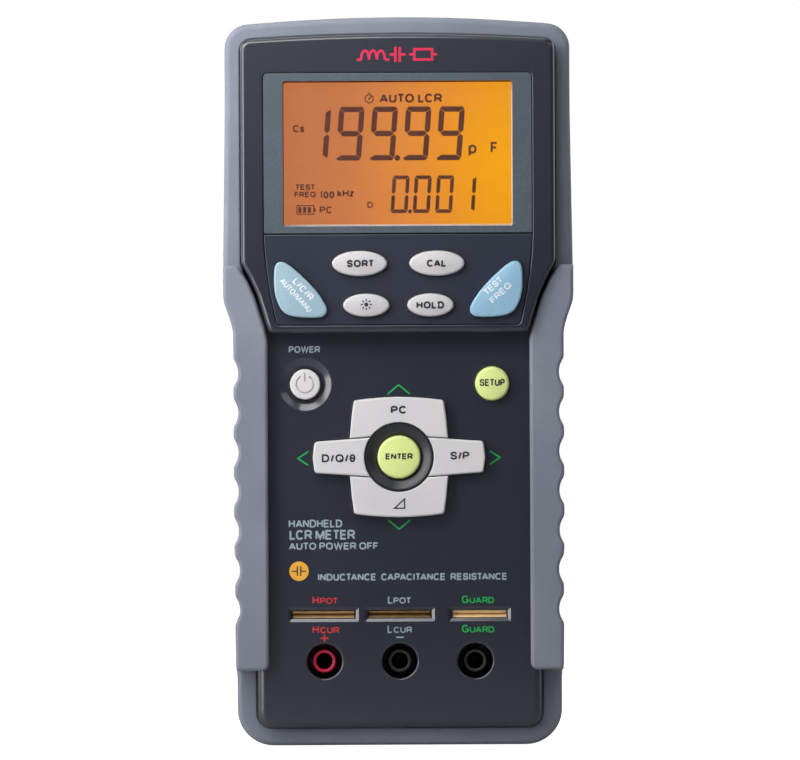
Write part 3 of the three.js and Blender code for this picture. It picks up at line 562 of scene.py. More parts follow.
def lathe(name, x, z, profile, n=64, mat=None):
    """Turned solid about a line through (x, z) towards the person; profile is [(radius, t), ...] from axis to axis, or closed."""
    verts, faces, m = [], [], len(profile)
    closed = math.dist(profile[0], profile[-1]) < 1e-6
    prof = profile[:-1] if closed else profile
    m = len(prof)
    for r, t in prof:
        for i in range(n):
            a = 2 * math.pi * i / n
            verts.append(P(x + r * math.cos(a), z + r * math.sin(a), t))
    for k in range(m if closed else m - 1):
        l = (k + 1) % m
        for i in range(n):
            j = (i + 1) % n
            faces.append((k * n + i, k * n + j, l * n + j, l * n + i))
    if not closed:
        for k in (0, m - 1):
            if prof[k][0] > 1e-6:
                faces.append(tuple(k * n + i for i in range(n)))
    mesh_faces = []
    for f in faces:
        co = [verts[i] for i in f]
        if len(f) == 4:
            keep = [f[0]] + [f[i] for i in range(1, 4) if all(math.dist(verts[f[i]], verts[f[j]]) > 1e-9 for j in range(i))]
            if len(keep) < 3:
                continue
            f = tuple(keep)
        mesh_faces.append(f)
    return make(name, verts, mesh_faces, mat)


def bar(name, x0, x1, t0, t1, z0, z1):
    return plate(name, rect(x0, x1, z0, z1), t0, t1)


def prism_x(name, pts_tz, x0, x1, mat=None):
    verts = [P(x, z, t) for x in (x0, x1) for t, z in pts_tz]
    n = len(pts_tz)
    faces = [(i, (i + 1) % n, n + (i + 1) % n, n + i) for i in range(n)] + [tuple(range(n)), tuple(range(2 * n - 1, n - 1, -1))]
    return make(name, verts, faces, mat)


def to_triangles(mesh):
    b = bmesh.new()
    b.from_mesh(mesh)
    bmesh.ops.triangulate(b, faces=[f for f in b.faces if len(f.verts) > 4], ngon_method="EAR_CLIP")
    b.to_mesh(mesh)
    b.free()


def false_area(mesh):
    """How far the drawn triangles' area is from the faces' own, which shows a face that was filled in wrongly."""
    mesh.calc_loop_triangles()
    return abs(sum(t.area for t in mesh.loop_triangles) - sum(p.area for p in mesh.polygons)) * 1e6


def boolean(op, a, others, keep=False):
    for b in others:
        best = None
        for solver, split in (("MANIFOLD", False), ("MANIFOLD", True), ("EXACT", False)):
            if split:
                to_triangles(a.data)
            mod = a.modifiers.new("b", "BOOLEAN")
            mod.object, mod.operation, mod.solver = b, op, solver
            mesh = bpy.data.meshes.new_from_object(a.evaluated_get(bpy.context.evaluated_depsgraph_get()))
            a.modifiers.clear()
            fault = false_area(mesh) if len(mesh.polygons) else 1e9
            if best is None or fault < best[0]:
                best = (fault, mesh)
            if fault < 0.01:
                break
        if best[0] >= 0.01:
            print("FAULT", a.name, b.name, op, round(best[0], 3))
        old, a.data = a.data, best[1]
        bpy.data.meshes.remove(old)
        if not keep:
            bpy.data.objects.remove(b)
    return a


def cut(a, *b):
    return boolean("DIFFERENCE", a, b)


def join(a, *b):
    return boolean("UNION", a, b)


def common(a, *b):
    return boolean("INTERSECT", a, b)


def finish_piece(o, name, body, mat, replaces=(), angle=32, bevel=0.0, weighted=True):
    o.name = name
    o.data.name = name
    o.data.materials.clear()
    o.data.materials.append(MAT[mat])
    for p in o.data.polygons:
        p.material_index = 0
    b = bmesh.new()
    b.from_mesh(o.data)
    bmesh.ops.remove_doubles(b, verts=b.verts, dist=2e-7)
    bmesh.ops.dissolve_degenerate(b, dist=2e-7, edges=b.edges)
    b.to_mesh(o.data)
    b.free()
    o.data.polygons.foreach_set("use_smooth", [True] * len(o.data.polygons))
    o.data.set_sharp_from_angle(angle=math.radians(angle))
    if weighted:
        w = o.modifiers.new("even shading", "WEIGHTED_NORMAL")
        w.keep_sharp = True
    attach(o, body)
    if replaces:
        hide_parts(*replaces)
    return o


# ------------------------------------------------------------------ outlines, mm
def crown(z0, z1, w, x0, x1, n):
    return [(x, z0 - (z0 - z1) * x * x / (w * w)) for x in (x0 + (x1 - x0) * i / n for i in range(n + 1))]


CASE_HEAD, CASE_BODY = 39.6, 36.0
case_half = [(0, 4.55), (CASE_BODY, 4.55, 3.6), (CASE_BODY, 104), (36.4, 109.5), (37.2, 113.6), (38.4, 118.3), (CASE_HEAD, 122), (CASE_HEAD, 178.25, 2.6), *crown(179.6, 178.3, 37.6, 32, 4, 8), (0, 179.6)]
case_outline = clean(soften(rounded(mirror(case_half), 10), 0.3, 0.5, 0.003))
head_half = [(0, 104.3), (32.4, 104.3, 1.5), (33.1, 105.9), (34.15, 109.5), (35.4, 113.6), (37.5, 118.3), (CASE_HEAD, 122), (CASE_HEAD, 178.25, 2.6), *crown(179.6, 178.3, 37.6, 32, 4, 8), (0, 179.6)]
head_outline = clean(soften(rounded(mirror(head_half), 10), 0.3, 0.5, 0.003))
head_inside = clean(rounded(mirror([(0, 106.8), (31.0, 106.8, 0.6), (32.0, 109.8), (33.3, 114), (35.2, 118.8), (37.0, 122.4), (37.0, 175.4, 0.6), (0, 176.6)]), 3))

SCALLOPS, SCALLOP_R, SCALLOP_DEEP = [34.5, 44.5, 54.4, 64.4, 74.3, 84.25, 94.3], 5.4, 1.25


def holster_half():
    p = [(0, 0.0), (41.1, 0.0, 9.1), (41.1, 17), (41.4, 21)]
    for z in SCALLOPS:
        w = 41.7 - (0.2 if z < 50 else 0)
        cx, a = w - SCALLOP_DEEP + SCALLOP_R, math.acos((SCALLOP_R - SCALLOP_DEEP) / SCALLOP_R)
        p += [(cx - SCALLOP_R * math.cos(-a + 2 * a * k / 12), z + SCALLOP_R * math.sin(-a + 2 * a * k / 12)) for k in range(13)]
    p += [(41.7, 104.4), (42.1, 106.4), (42.7, 108.4), (43.5, 110.6), (44.0, 112.1), (44.2, 113.6), (44.2, 122), (43.9, 140), (43.6, 160), (43.6, 181.9, 6.1), *crown(184, 182.2, 39, 32, 4, 8), (0, 184)]
    return p


holster_outline = clean(soften(rounded(mirror(holster_half()), 12), 0.3, 0.5, 0.003))
fascia_pocket = clean(rounded(mirror([(0, 106.2), (30.7, 106.2, 1.2), (31.4, 109.6), (32.45, 114.7), (33.2, 119.9), (33.7, 125), (33.9, 129.2), (33.9, 169.8, 1.2), (0, 169.8)]), 6))


def clip(poly, axis, limit, keep_above=True):
    """The part of a flat outline on one side of a straight line (axis 0: x, 1: z)."""
    out, s = [], 1 if keep_above else -1
    for i in range(len(poly)):
        a, b = poly[i], poly[(i + 1) % len(poly)]
        da, db = s * (a[axis] - limit), s * (b[axis] - limit)
        if da >= 0:
            out.append(a)
        if da * db < 0:
            f = da / (da - db)
            out.append((a[0] + (b[0] - a[0]) * f, a[1] + (b[1] - a[1]) * f))
    return clean(out)


NAV_Z, ROUND_X, ROUND_Z, SLOT_Z, SOCKET_Z = 72.9, 23.6, 91.35, 33.2, 21.4
RING_R, ENTER_R = 8.65, 5.45
leaf_left = clean(closed_curve([(-31.27, 119.85), (-31.25, 115.2), (-30.5, 112.1), (-29.25, 109.8), (-27.3, 108.6), (-23.7, 108.1), (-19.8, 108.15), (-18.3, 108.9), (-17.95, 110.15), (-18.5, 111.7), (-20.6, 114.85),
                                (-23.7, 118.2), (-26.5, 120.7), (-28.2, 121.9), (-29.6, 122.25), (-30.7, 121.7)], 112))
leaf_right = clean([(-x, z) for x, z in leaf_left])
HEAD_KEYS = {
    "sort": (clean(ellipse(-9.73, 121.7, 7.0, 3.22)), "key_white"), "cal": (clean(ellipse(9.73, 121.7, 7.0, 3.22)), "key_white"),
    "backlight": (clean(ellipse(-8.08, 111.2, 5.9, 2.96)), "key_white"), "hold": (clean(ellipse(8.08, 111.2, 5.9, 2.96)), "key_white"),
    "mode": (leaf_left, "key_blue_left"), "frequency": (leaf_right, "key_blue_right"),
}


def nav_edge(x, gap=0.0):
    return 4.9 - 0.07 * (abs(x) - 7.6) + gap


def side_key(s):
    return clean(rounded([(5 * s, NAV_Z - nav_edge(5)), (21.3 * s, NAV_Z - nav_edge(21.3), 0.9), (21.8 * s, NAV_Z), (21.3 * s, NAV_Z + nav_edge(21.3), 0.9), (5 * s, NAV_Z + nav_edge(5))], 6))


def end_key(s):
    e = nav_edge
    return clean(rounded([(5, NAV_Z + s * e(5, 0.2)), (12.4, NAV_Z + s * e(12.4, 0.2)), (11.95, NAV_Z + s * 10), (11.35, NAV_Z + s * 14.35, 0.9), (7.5, NAV_Z + s * 14.8), (3.5, NAV_Z + s * 15.1), (0, NAV_Z + s * 15.2), (-3.5, NAV_Z + s * 15.1),
                          (-7.5, NAV_Z + s * 14.8), (-11.35, NAV_Z + s * 14.35, 0.9), (-11.95, NAV_Z + s * 10), (-12.4, NAV_Z + s * e(12.4, 0.2)), (-5, NAV_Z + s * e(5, 0.2))], 6))


NAV_KEYS = {"up": (end_key(1), (0, NAV_Z + 11.6)), "down": (end_key(-1), (0, NAV_Z - 11.6)), "left": (side_key(-1), (-16.2, NAV_Z)), "right": (side_key(1), (16.2, NAV_Z))}
SLOTS = {"high": (-19.2, 17.7, 16.2), "low": (0.0, 17.7, 16.2), "guard": (20.2, 15.7, 14.2)}
SOCKETS = {"high": -19.05, "low": 0.0, "guard": 19.05}

# ------------------------------------------------------------------ holster
WALL_TOP, WALL_GRIP, WALL_BOTTOM = 34.8, 38.0, 31.0
cavity = clean(offset(case_outline, 0.16))


def ear(s):
    """Grip seen from the front: outside it follows the holster, inside it follows the head's flare."""
    outer = clip(clip(offset(holster_outline, -0.02), 1, 19.2), 1, 121.3, False)
    outer = [p for p in outer if p[0] > 39]
    lo, hi = min(outer, key=lambda p: p[1]), max(outer, key=lambda p: p[1])
    k = outer.index(lo)
    outer = outer[k:] + outer[:k]
    r = 1.7
    inner = [(40.6, 121.3), (38.05, 117.6), (36.1, 113.2), (34.75, 108.8), (33.65, 105.4), (33.05, 102.6)] + [(33.05 + r - r * math.cos(math.pi / 2 * k / 8), 19.2 + r - r * math.sin(math.pi / 2 * k / 8)) for k in range(9)]
    pts = clean(outer + inner)
    return pts if s > 0 else clean([(-x, z) for x, z in pts])


low = plate("low", offset(holster_outline, -0.03), 0, WALL_BOTTOM, 1.3, 2.2, 6)
low = cut(low, plate("c", cavity, 2.5, WALL_BOTTOM, -0.4, 0, 5))
high_plan = clip(offset(holster_outline, -0.02), 1, 119.0)
high = plate("high", high_plan, 2.4, WALL_TOP, 1.5, 0, 7)
high = cut(high, plate("c", offset(cavity, 0.01), 1, WALL_TOP, -0.45, 0, 6))
holster = join(low, high)
for s in (-1, 1):
    grip = plate("grip", ear(s), 2.4, WALL_GRIP, 0.95, 0, 6)
    holster = join(holster, cut(grip, plate("c", offset(cavity, 0.02), 1, 35.35)))
holster = cut(holster, plate("c", rect(-30.2, 30.2, 30, 131, 5, 8), -1, 2.5, 0, -0.9, 4), bar("c", -11, 11, 6.5, 16.5, 176, 190),
              prism_x("c", [(16.3, 134), (26.7, 134), (26.7, 146), (16.3, 146)], 36, 60))
finish_piece(holster, "holster_boot", "housing", "holster", ["holster"], angle=40)

# ------------------------------------------------------------------ front case
T_FACE, T_HEAD = 35.0, 40.2
shell = plate("shell", case_outline, 14, T_FACE, 2.2, 0, 8)
head = plate("head", head_outline, 22, T_HEAD, 1.25, 0, 8)
shell = join(shell, head)
shell = cut(shell, bar("c", -60, 60, 0, 17, -10, 200), plate("c", offset(case_outline, -2.3), 15, 32.4), plate("c", head_inside, 31, 36.9))
wells = [plate("w", offset(k[0], 1.6), 31.9, 33.6) for k in NAV_KEYS.values()]
wells += [plate("w", circle(0, NAV_Z, 10.4), 31.9, 33.6), plate("w", circle(-ROUND_X, ROUND_Z, 7.6), 31.5, 33.6)]
wells += [plate("w", circle(x, SOCKET_Z, 5.9), 19.2, T_FACE - 1) for x in SOCKETS.values()]
wells += [plate("w", rect(x - w / 2 - 0.9, x + w / 2 + 0.9, SLOT_Z - 2.9, SLOT_Z + 2.9), 29.5, T_FACE - 1) for x, w, _ in SLOTS.values()]
shell = join(shell, *wells)
cutters = [plate("c", fascia_pocket, 38.4, T_HEAD, -0.35, 0, 4), plate("c", rect(-30.2, 30.2, 129.9, 169, 0.5, 3), 35, 38.5)]
cutters += [plate("c", offset(k[0], 0.3), 35, 39) for k in HEAD_KEYS.values()]
# the direction keys' well is cut in one go, its rim a little rounded
well = plate("c", offset(NAV_KEYS["up"][0], 0.17), 33.7, T_FACE, -0.2, 0, 3)
well = join(well, *[plate("c", offset(NAV_KEYS[k][0], 0.17), 33.7, T_FACE, -0.2, 0, 3) for k in ("down", "left", "right")], plate("c", circle(0, NAV_Z, RING_R + 0.35, 72), 33.7, T_FACE, -0.2, 0, 3))
cutters += [well, plate("c", circle(0, NAV_Z, ENTER_R + 0.35, 64), 25, 36)]
cutters += [plate("c", circle(*k[1], 2.25, 24), 25, 36) for k in NAV_KEYS.values()]
cutters += [plate("c", circle(ROUND_X, ROUND_Z, 4.5, 56), 25, T_FACE, -0.25, 0, 4), plate("c", circle(-ROUND_X, ROUND_Z, 4.14, 56), 25, 36)]
dish = [(0.0, 34.2), (4.75, 34.2), (4.95, 34.23), (5.15, 34.31), (5.6, 34.5), (6.1, 34.71), (6.4, 34.84), (6.6, 34.93), (6.85, 35.01), (6.85, 40.0), (0.0, 40.0)]
cutters.append(lathe("c", -ROUND_X, ROUND_Z, dish, 72))
for x in SOCKETS.values():
    cutters.append(plate("c", circle(x, SOCKET_Z, 4.35, 64), 10, T_FACE, -0.6, 0, 6))
for x, w, v in SLOTS.values():
    cutters.append(plate("c", rect(x - v / 2, x + v / 2, SLOT_Z - 1.08, SLOT_Z + 1.08, 0.15, 2), 20, 40))
    mouth0, mouth1 = rect(x - v / 2, x + v / 2, SLOT_Z - 1.08, SLOT_Z + 1.08, 0.15, 3), rect(x - w / 2, x + w / 2, SLOT_Z - 1.82, SLOT_Z + 1.82, 0.35, 3)
    wide = rect(x - w / 2 - 0.12, x + w / 2 + 0.12, SLOT_Z - 1.94, SLOT_Z + 1.94, 0.4, 3)
    cutters.append(stack("c", [(mouth0, 33.9), (mouth0, 34.52), (mouth1, 34.94), (wide, 35.02), (wide, 38)]))
    cutters.append(bar("c", x - v / 2, x + v / 2, 20, 33.2, SLOT_Z - 1.95, SLOT_Z + 1.95))
shell = cut(shell, *cutters)
finish_piece(shell, "front_shell", "housing", "case", ["front_case"], angle=35)

# ------------------------------------------------------------------ fascia, window, display
plate_in = clean(offset(fascia_pocket, -0.10))
fascia = plate("fascia", clip(plate_in, 1, 129.05, False), 38.6, T_HEAD - 0.2, 0.25, 0, 4)
fascia = cut(fascia, *[plate("c", offset(k[0], 0.13), 36, T_HEAD - 0.2, -0.16, 0, 4) for k in HEAD_KEYS.values()])
finish_piece(fascia, "fascia_plate", "housing", "fascia", ["keypad_fascia"], angle=35)

window_plan = clip(plate_in, 1, 129.35)
border = cut(plate("border", window_plan, 38.6, T_HEAD - 0.25, 0.2, 0, 3), plate("c", rect(-28.95, 28.95, 131.1, 167.75, 0.6, 5), 36, 45))
finish_piece(border, "window_border", "housing", "border", ["display_window"], angle=35)
pane = plate("pane", rect(-28.93, 28.93, 131.12, 167.73, 0.6, 5), 39.35, T_HEAD - 0.28, 0, 0)
finish_piece(pane, "window_pane", "housing", "pane", angle=35)
# frame that shelves down from the window's border to the glass: painted shade, a dark strip along the top and left
# where the border's shadow falls, and bare white along the bottom and right
def shelf(name, corners_out, corners_mid, corners_in, mat):
    verts, faces = [], []
    for t, pts in ((36.6, corners_out), (38.5, corners_out), (38.5, corners_mid), (36.8, corners_in), (36.6, corners_in)):
        verts += [P(x, z, t) for x, z in pts]
    n = len(corners_out)
    for k in range(5):
        l = (k + 1) % 5
        faces += [(k * n + i, k * n + i + 1, l * n + i + 1, l * n + i) for i in range(n - 1)]
    faces += [tuple(k * n for k in range(5)), tuple(k * n + n - 1 for k in range(5))]
    finish_piece(make(name, verts, faces), name, "housing", mat, angle=30)


def turn(a, corner, b, r, arc=6):
    """Three points as a line whose middle corner is rounded."""
    u, v = Vector((a[0] - corner[0], a[1] - corner[1])).normalized(), Vector((b[0] - corner[0], b[1] - corner[1])).normalized()
    cx, cz = corner[0] + r * (u.x + v.x), corner[1] + r * (u.y + v.y)
    out = []
    for k in range(arc + 1):
        q = math.pi / 2 * k / arc
        out.append((cx - r * (v.x * math.cos(q) + u.x * math.sin(q)), cz - r * (v.y * math.cos(q) + u.y * math.sin(q))))
    return [a] + out + [b]


shelf("display_shelf_painted_shade", turn((-30.1, 130.0), (-30.1, 168.9), (30.1, 168.9), 1.2), turn((-28.98, 131.12), (-28.98, 167.78), (28.98, 167.78), 0.7), turn((-28.72, 131.38), (-28.72, 167.42), (28.62, 167.42), 0.6), "shelf_painted_shade")
shelf("display_surround", turn((30.1, 168.9), (30.1, 130.0), (-30.1, 130.0), 1.2), turn((28.98, 167.78), (28.98, 131.12), (-28.98, 131.12), 0.7), turn((28.66, 167.42), (28.66, 131.60), (-28.60, 131.60), 0.6), "frame_white")
glass = plate("glass", rect(-30.9, 30.9, 127.8, 173.6, 0.4, 4), 34.9, 36.5, 0.15, 0.15, 3)
finish_piece(glass, "display_glass", "housing", "glow", ["lcd_panel"], angle=35)

# ------------------------------------------------------------------ keys
def inside_scale(pts, s, centre):
    return [(centre[0] + (x - centre[0]) * s, centre[1] + (z - centre[1]) * s) for x, z in pts]


def domed(name, pts, t0, t1, edge, rise, centre=None, seg=6):
    """Cap with a rounded rim and a gently swollen top."""
    base = clean(pts)
    centre = centre or (sum(p[0] for p in base) / len(base), sum(p[1] for p in base) / len(base))
    rings = [(base, t0)]
    top = t1 - rise
    for k in range(seg + 1):
        a = math.pi / 2 * k / seg
        rings.append((offset(base, -edge * (1 - math.cos(a))), top - edge + edge * math.sin(a)))
    rim = rings[-1][0]
    for s in (0.86, 0.70, 0.52, 0.34, 0.16, 0.04):
        rings.append((inside_scale(rim, s, centre), top + rise * (1 - s * s)))
    return stack(name, rings)


KEY_TOP = 41.94
STEM = {"sort": (-9.73, 121.7), "cal": (9.73, 121.7), "backlight": (-8.08, 111.2), "hold": (8.08, 111.2), "mode": (-26.3, 113.4), "frequency": (26.3, 113.4)}
for key, (pts, mat) in HEAD_KEYS.items():
    cap = domed("cap", offset(pts, -0.04), 35.6, KEY_TOP, 0.75 if "key_white" == mat else 0.6, 0.35)
    cap = join(cap, plate("flange", offset(pts, 0.85), 35.5, 36.35), plate("stem", circle(*STEM[key], 1.9, 24), 31.1, 36))
    finish_piece(cap, "cap_" + key, "button_" + key, "key_white_head" if mat == "key_white" else mat, ["key_" + key], angle=35)
for key, (pts, at) in NAV_KEYS.items():
    cap = plate("cap", pts, 34.75, 37.4, 0.55, 0, 6)
    ring_cut = plate("c", circle(0, NAV_Z, RING_R + 0.14, 96), 30, 37.4, -0.3, 0, 5)
    cap = cut(cap, ring_cut)
    cap = join(cap, plate("stem", circle(*at, 1.9, 24), 31.1, 36))
    finish_piece(cap, "cap_" + key, "button_" + key, "key_white", ["key_" + key], angle=35)
for key, x, z, r, top, edge, rise, mat, slot_name in (("power", -ROUND_X, ROUND_Z, 3.84, 36.0, 0.45, 0.12, "key_white", "white_plastic"), ("setup", ROUND_X, ROUND_Z, 4.32, 37.1, 0.9, 0.35, "key_green", "green_key"),
                                                       ("enter", 0.0, NAV_Z, ENTER_R, 37.3, 0.8, 0.3, "key_green", "green_key")):
    cap = domed("cap", circle(x, z, r, 64), 31.1, top, edge, rise, (x, z))
    cap = join(cap, plate("flange", circle(x, z, r + 0.9, 40), 31.1, 31.7))
    if key == "power":
        # engraved stand-by sign: a ring open at the top, and a bar
        a0 = math.radians(118)
        arc_o = [(x + 2.36 * math.cos(a0 + (2 * math.pi - 2 * (a0 - math.pi / 2)) * k / 40), z + 2.36 * math.sin(a0 + (2 * math.pi - 2 * (a0 - math.pi / 2)) * k / 40)) for k in range(41)]
        arc_i = [(x + 1.98 * math.cos(a0 + (2 * math.pi - 2 * (a0 - math.pi / 2)) * k / 40), z + 1.98 * math.sin(a0 + (2 * math.pi - 2 * (a0 - math.pi / 2)) * k / 40)) for k in range(40, -1, -1)]
        cap = cut(cap, plate("c", arc_o + arc_i, 35.62, 38), plate("c", rect(x - 0.2, x + 0.2, z + 0.7, z + 2.75, 0.15, 3), 35.62, 38))
    finish_piece(cap, "cap_" + key, "button_" + key, mat, ["key_" + key], angle=35)
ring = lathe("ring", 0, NAV_Z, [(ENTER_R + 0.25, 34.0), (RING_R, 34.0), (RING_R, 36.55), (RING_R - 0.06, 36.78), (RING_R - 0.2, 36.94), (RING_R - 0.45, 36.98), (8.0, 36.9), (7.6, 36.72), (7.1, 36.44), (6.6, 36.16), (6.2, 35.98), (ENTER_R + 0.5, 35.86),
                                (ENTER_R + 0.25, 35.7), (ENTER_R + 0.25, 34.0)], 96)
finish_piece(ring, "ring_round_enter", "housing", "well", ["nav_ring"], angle=35)

# ------------------------------------------------------------------ sockets and fixture contacts
for key, x in SOCKETS.items():
    post = lathe("post", x, SOCKET_Z, [(2.45, 14.6), (5.7, 14.6), (5.7, 18.7), (5.5, 18.9), (4.2, 18.9), (4.2, 20.3), (4.0, 20.5), (2.95, 20.5), (2.95, 32.7), (2.9, 32.95), (2.75, 33.1), (2.35, 33.12), (2.15, 33.02), (2.06, 32.8), (2.06, 22.0), (2.45, 21.8), (2.45, 14.6)], 56)
    finish_piece(post, "socket_sleeve_" + key, "housing", "red" if key == "high" else "black", ["socket_" + key], angle=35)
    tube = lathe("tube", x, SOCKET_Z, [(0.0, 15.0), (2.35, 15.0), (2.35, 21.5), (2.3, 21.65), (2.15, 21.7), (2.0, 21.6), (2.0, 18.2), (0.0, 16.5)], 48)
    finish_piece(tube, "socket_tube_" + key, "housing", "brass_deep_shade", ["socket_contact_" + key], angle=35)
line0 = [(28.8, 1.45), (30.4, 1.4), (31.0, 1.0), (31.6, 0.48), (32.0, 0.24), (32.4, 0.175), (32.8, 0.20), (33.15, 0.33), (33.45, 0.50), (33.75, 0.72), (33.95, 0.93)]
for key, (x, w, v) in SLOTS.items():
    for s, word in ((1, "upper"), (-1, "lower")):
        line = [(t, SLOT_Z + s * z) for t, z in line0]
        side = []
        for q in (1, -1):
            row = []
            for i, (t, z) in enumerate(line):
                a, b = line[max(0, i - 1)], line[min(len(line) - 1, i + 1)]
                l = math.dist(a, b)
                row.append((t - q * 0.15 * (b[1] - a[1]) / l, z + q * 0.15 * (b[0] - a[0]) / l))
            side.append(row)
        blade = prism_x("blade", side[0] + side[1][::-1], x - v / 2 + 0.3, x + v / 2 - 0.3)
        # high, low and guard blades take the plain, painted-shade and painted-light copies of the brass
        finish_piece(blade, f"fixture_blade_{key}_{word}", "housing", {"guard": "brass_bright", "low": "brass_low", "high": "brass"}[key], [f"slot_contact_{key}_{word}"], angle=50)

# ------------------------------------------------------------------ printed marks
INK = 0.03           # film thickness, mm


def bow(cx, cz, rx, rz, a0, a1, n=14, square=2.25):
    """Part of a slightly squared ellipse, degrees anticlockwise."""
    out = []
    for k in range(n + 1):
        a = math.radians(a0 + (a1 - a0) * k / n)
        c, q = math.cos(a), math.sin(a)
        out.append((cx + rx * math.copysign(abs(c) ** (2 / square), c), cz + rz * math.copysign(abs(q) ** (2 / square), q)))
    return out


def bend(pts, n=4):
    """Open Catmull-Rom curve through pts."""
    p, out = [pts[0], *pts, pts[-1]], []
    for i in range(1, len(p) - 2):
        for k in range(n):
            s = k / n
            out.append(tuple(0.5 * (2 * p[i][c] + (p[i + 1][c] - p[i - 1][c]) * s + (2 * p[i - 1][c] - 5 * p[i][c] + 4 * p[i + 1][c] - p[i + 2][c]) * s * s + (3 * p[i][c] - p[i - 1][c] - 3 * p[i + 1][c] + p[i + 2][c]) * s ** 3) for c in (0, 1)))
    return out + [pts[-1]]


ESS = bend([(0.97, 0.72), (0.84, 0.94), (0.5, 1.0), (0.16, 0.93), (0.03, 0.74), (0.17, 0.585), (0.5, 0.505), (0.84, 0.42), (0.98, 0.25), (0.86, 0.06), (0.5, 0.0), (0.14, 0.06), (0.0, 0.29)])
BOWL = [(0, 1), (0.5, 1), *bow(0.58, 0.73, 0.42, 0.27, 90, -90, 10), (0.5, 0.46), (0, 0.46)]
ROUND = bow(0.5, 0.5, 0.5, 0.5, 0, 352, 32)
# width, then lines in a unit box measured between stroke centres; a line that ends in None is closed
LETTERS = {
    "A": (0.92, [[(0, 0), (0.5, 1)], [(0.5, 1), (1, 0)], [(0.2, 0.29), (0.8, 0.29)]]),
    "B": (0.82, [[(0, 0), (0, 1)], [(0, 1), (0.5, 1), *bow(0.56, 0.76, 0.36, 0.24, 90, -90, 10), (0, 0.52)], [(0, 0.52), (0.5, 0.52), *bow(0.6, 0.26, 0.4, 0.26, 90, -90, 10), (0, 0)]]),
    "C": (0.88, [bow(0.5, 0.5, 0.5, 0.5, 40, 320, 26)]),
    "D": (0.85, [[(0, 0), (0, 1), (0.38, 1), *bow(0.42, 0.5, 0.58, 0.5, 90, -90, 16), (0.38, 0), None]]),
    "E": (0.74, [[(1, 1), (0, 1), (0, 0), (1, 0)], [(0, 0.52), (0.92, 0.52)]]),
    "F": (0.70, [[(1, 1), (0, 1), (0, 0)], [(0, 0.5), (0.88, 0.5)]]),
    "G": (0.92, [bow(0.5, 0.5, 0.5, 0.5, 42, 330, 28), [(0.55, 0.46), (1, 0.46), (1, 0.02)]]),
    "H": (0.83, [[(0, 0), (0, 1)], [(1, 0), (1, 1)], [(0, 0.52), (1, 0.52)]]),
    "I": (0.0, [[(0, 0), (0, 1)]]),
    "L": (0.68, [[(0, 1), (0, 0), (1, 0)]]),
    "M": (1.0, [[(0, 0), (0, 1)], [(1, 0), (1, 1)], [(0.02, 1), (0.5, 0.06), (0.98, 1)]]),
    "N": (0.84, [[(0, 0), (0, 1)], [(1, 0), (1, 1)], [(0.02, 1), (0.98, 0)]]),
    "O": (0.94, [ROUND + [None]]),
    "P": (0.78, [[(0, 0), (0, 1)], BOWL]),
    "Q": (0.94, [ROUND + [None], [(0.58, 0.28), (1.0, -0.04)]]),
    "R": (0.82, [[(0, 0), (0, 1)], BOWL, [(0.55, 0.46), (0.92, 0.18), (1.0, 0)]]),
    "S": (0.80, [ESS]),
    "T": (0.76, [[(0, 1), (1, 1)], [(0.5, 1), (0.5, 0)]]),
    "U": (0.82, [[(0, 1), (0, 0.36), *bow(0.5, 0.36, 0.5, 0.36, 180, 360, 14), (1, 1)]]),
    "V": (0.86, [[(0, 1), (0.5, 0), (1, 1)]]),
    "W": (1.22, [[(0, 1), (0.25, 0), (0.5, 1), (0.75, 0), (1, 1)]]),
    "Y": (0.84, [[(0, 1), (0.5, 0.42), (1, 1)], [(0.5, 0.45), (0.5, 0)]]),
    "k": (0.62, [[(0, 0), (0, 1)], [(0.92, 0.70), (0.05, 0.26)], [(0.38, 0.44), (1, 0)]]),
    "z": (0.58, [[(0, 0.72), (0.96, 0.72), (0.04, 0), (1, 0)]]),
    "s": (0.62, [[(x, z * 0.74) for x, z in ESS]]),
    "p": (0.68, [[(0, 0.74), (0, -0.32)], [(x, 0.37 + (z - 0.5) * 0.74) for x, z in ROUND] + [None]]),
    "0": (0.66, [ROUND + [None]]),
    "1": (0.36, [[(0.0, 0.74), (0.55, 0.80), (1.0, 1.0), (1.0, 0)]]),
    "9": (0.66, [[(x, 0.66 + (z - 0.5) * 0.68) for x, z in ROUND] + [None], bend([(1, 0.62), (0.97, 0.3), (0.8, 0.06), (0.48, 0.0), (0.16, 0.06), (0.04, 0.22)])]),
    "/": (0.42, [[(0, 0), (1, 1)]]),
    "θ": (0.66, [ROUND + [None], [(0, 0.5), (1, 0.5)]]),
    "+": (0.80, [[(0, 0.5), (1, 0.5)], [(0.5, 0.0), (0.5, 1.0)]]),
    " ": (0.22, []),
}


CLOSER = {"CA": 0.10, "AL": 0.06, "AC": 0.08, "LC": 0.07, "CT": 0.08, "NC": 0.02, "PA": 0.12, "TA": 0.16, "ST": 0.06, "TE": 0.04, "OT": 0.05, "RT": 0.05, "AN": 0.04, "AU": 0.03, "TT": 0.02, "FR": 0.04, "UA": 0.04, "LD": -0.02, "/Q": -0.03, "Q/": -0.03, "D/": -0.03, "UT": 0.04, "TO": 0.04}


def line_of(text, w, gap=0.085):
    """Centre lines of a line of lettering with cap height 1 and strokes w wide: [(points, closed)], and its bounds."""
    x, out, low, before = 0.0, [], 0.0, ""
    for ch in text:
        x -= CLOSER.get(before + ch, 0.0)
        before = ch
        width, lines = LETTERS[ch]
        width = max(width, w)
        for pts in lines:
            closed = pts[-1] is None
            q = [(x + w / 2 + px * (width - w), w / 2 + pz * (1 - w)) for px, pz in (pts[:-1] if closed else pts)]
            low = min(low, min(p[1] for p in q) - w / 2)
            out.append((q, closed))
        x += width + gap
    return out, (0.0, x - gap, low, 1.0 if text not in ("z", "s", "p") else 0.79)


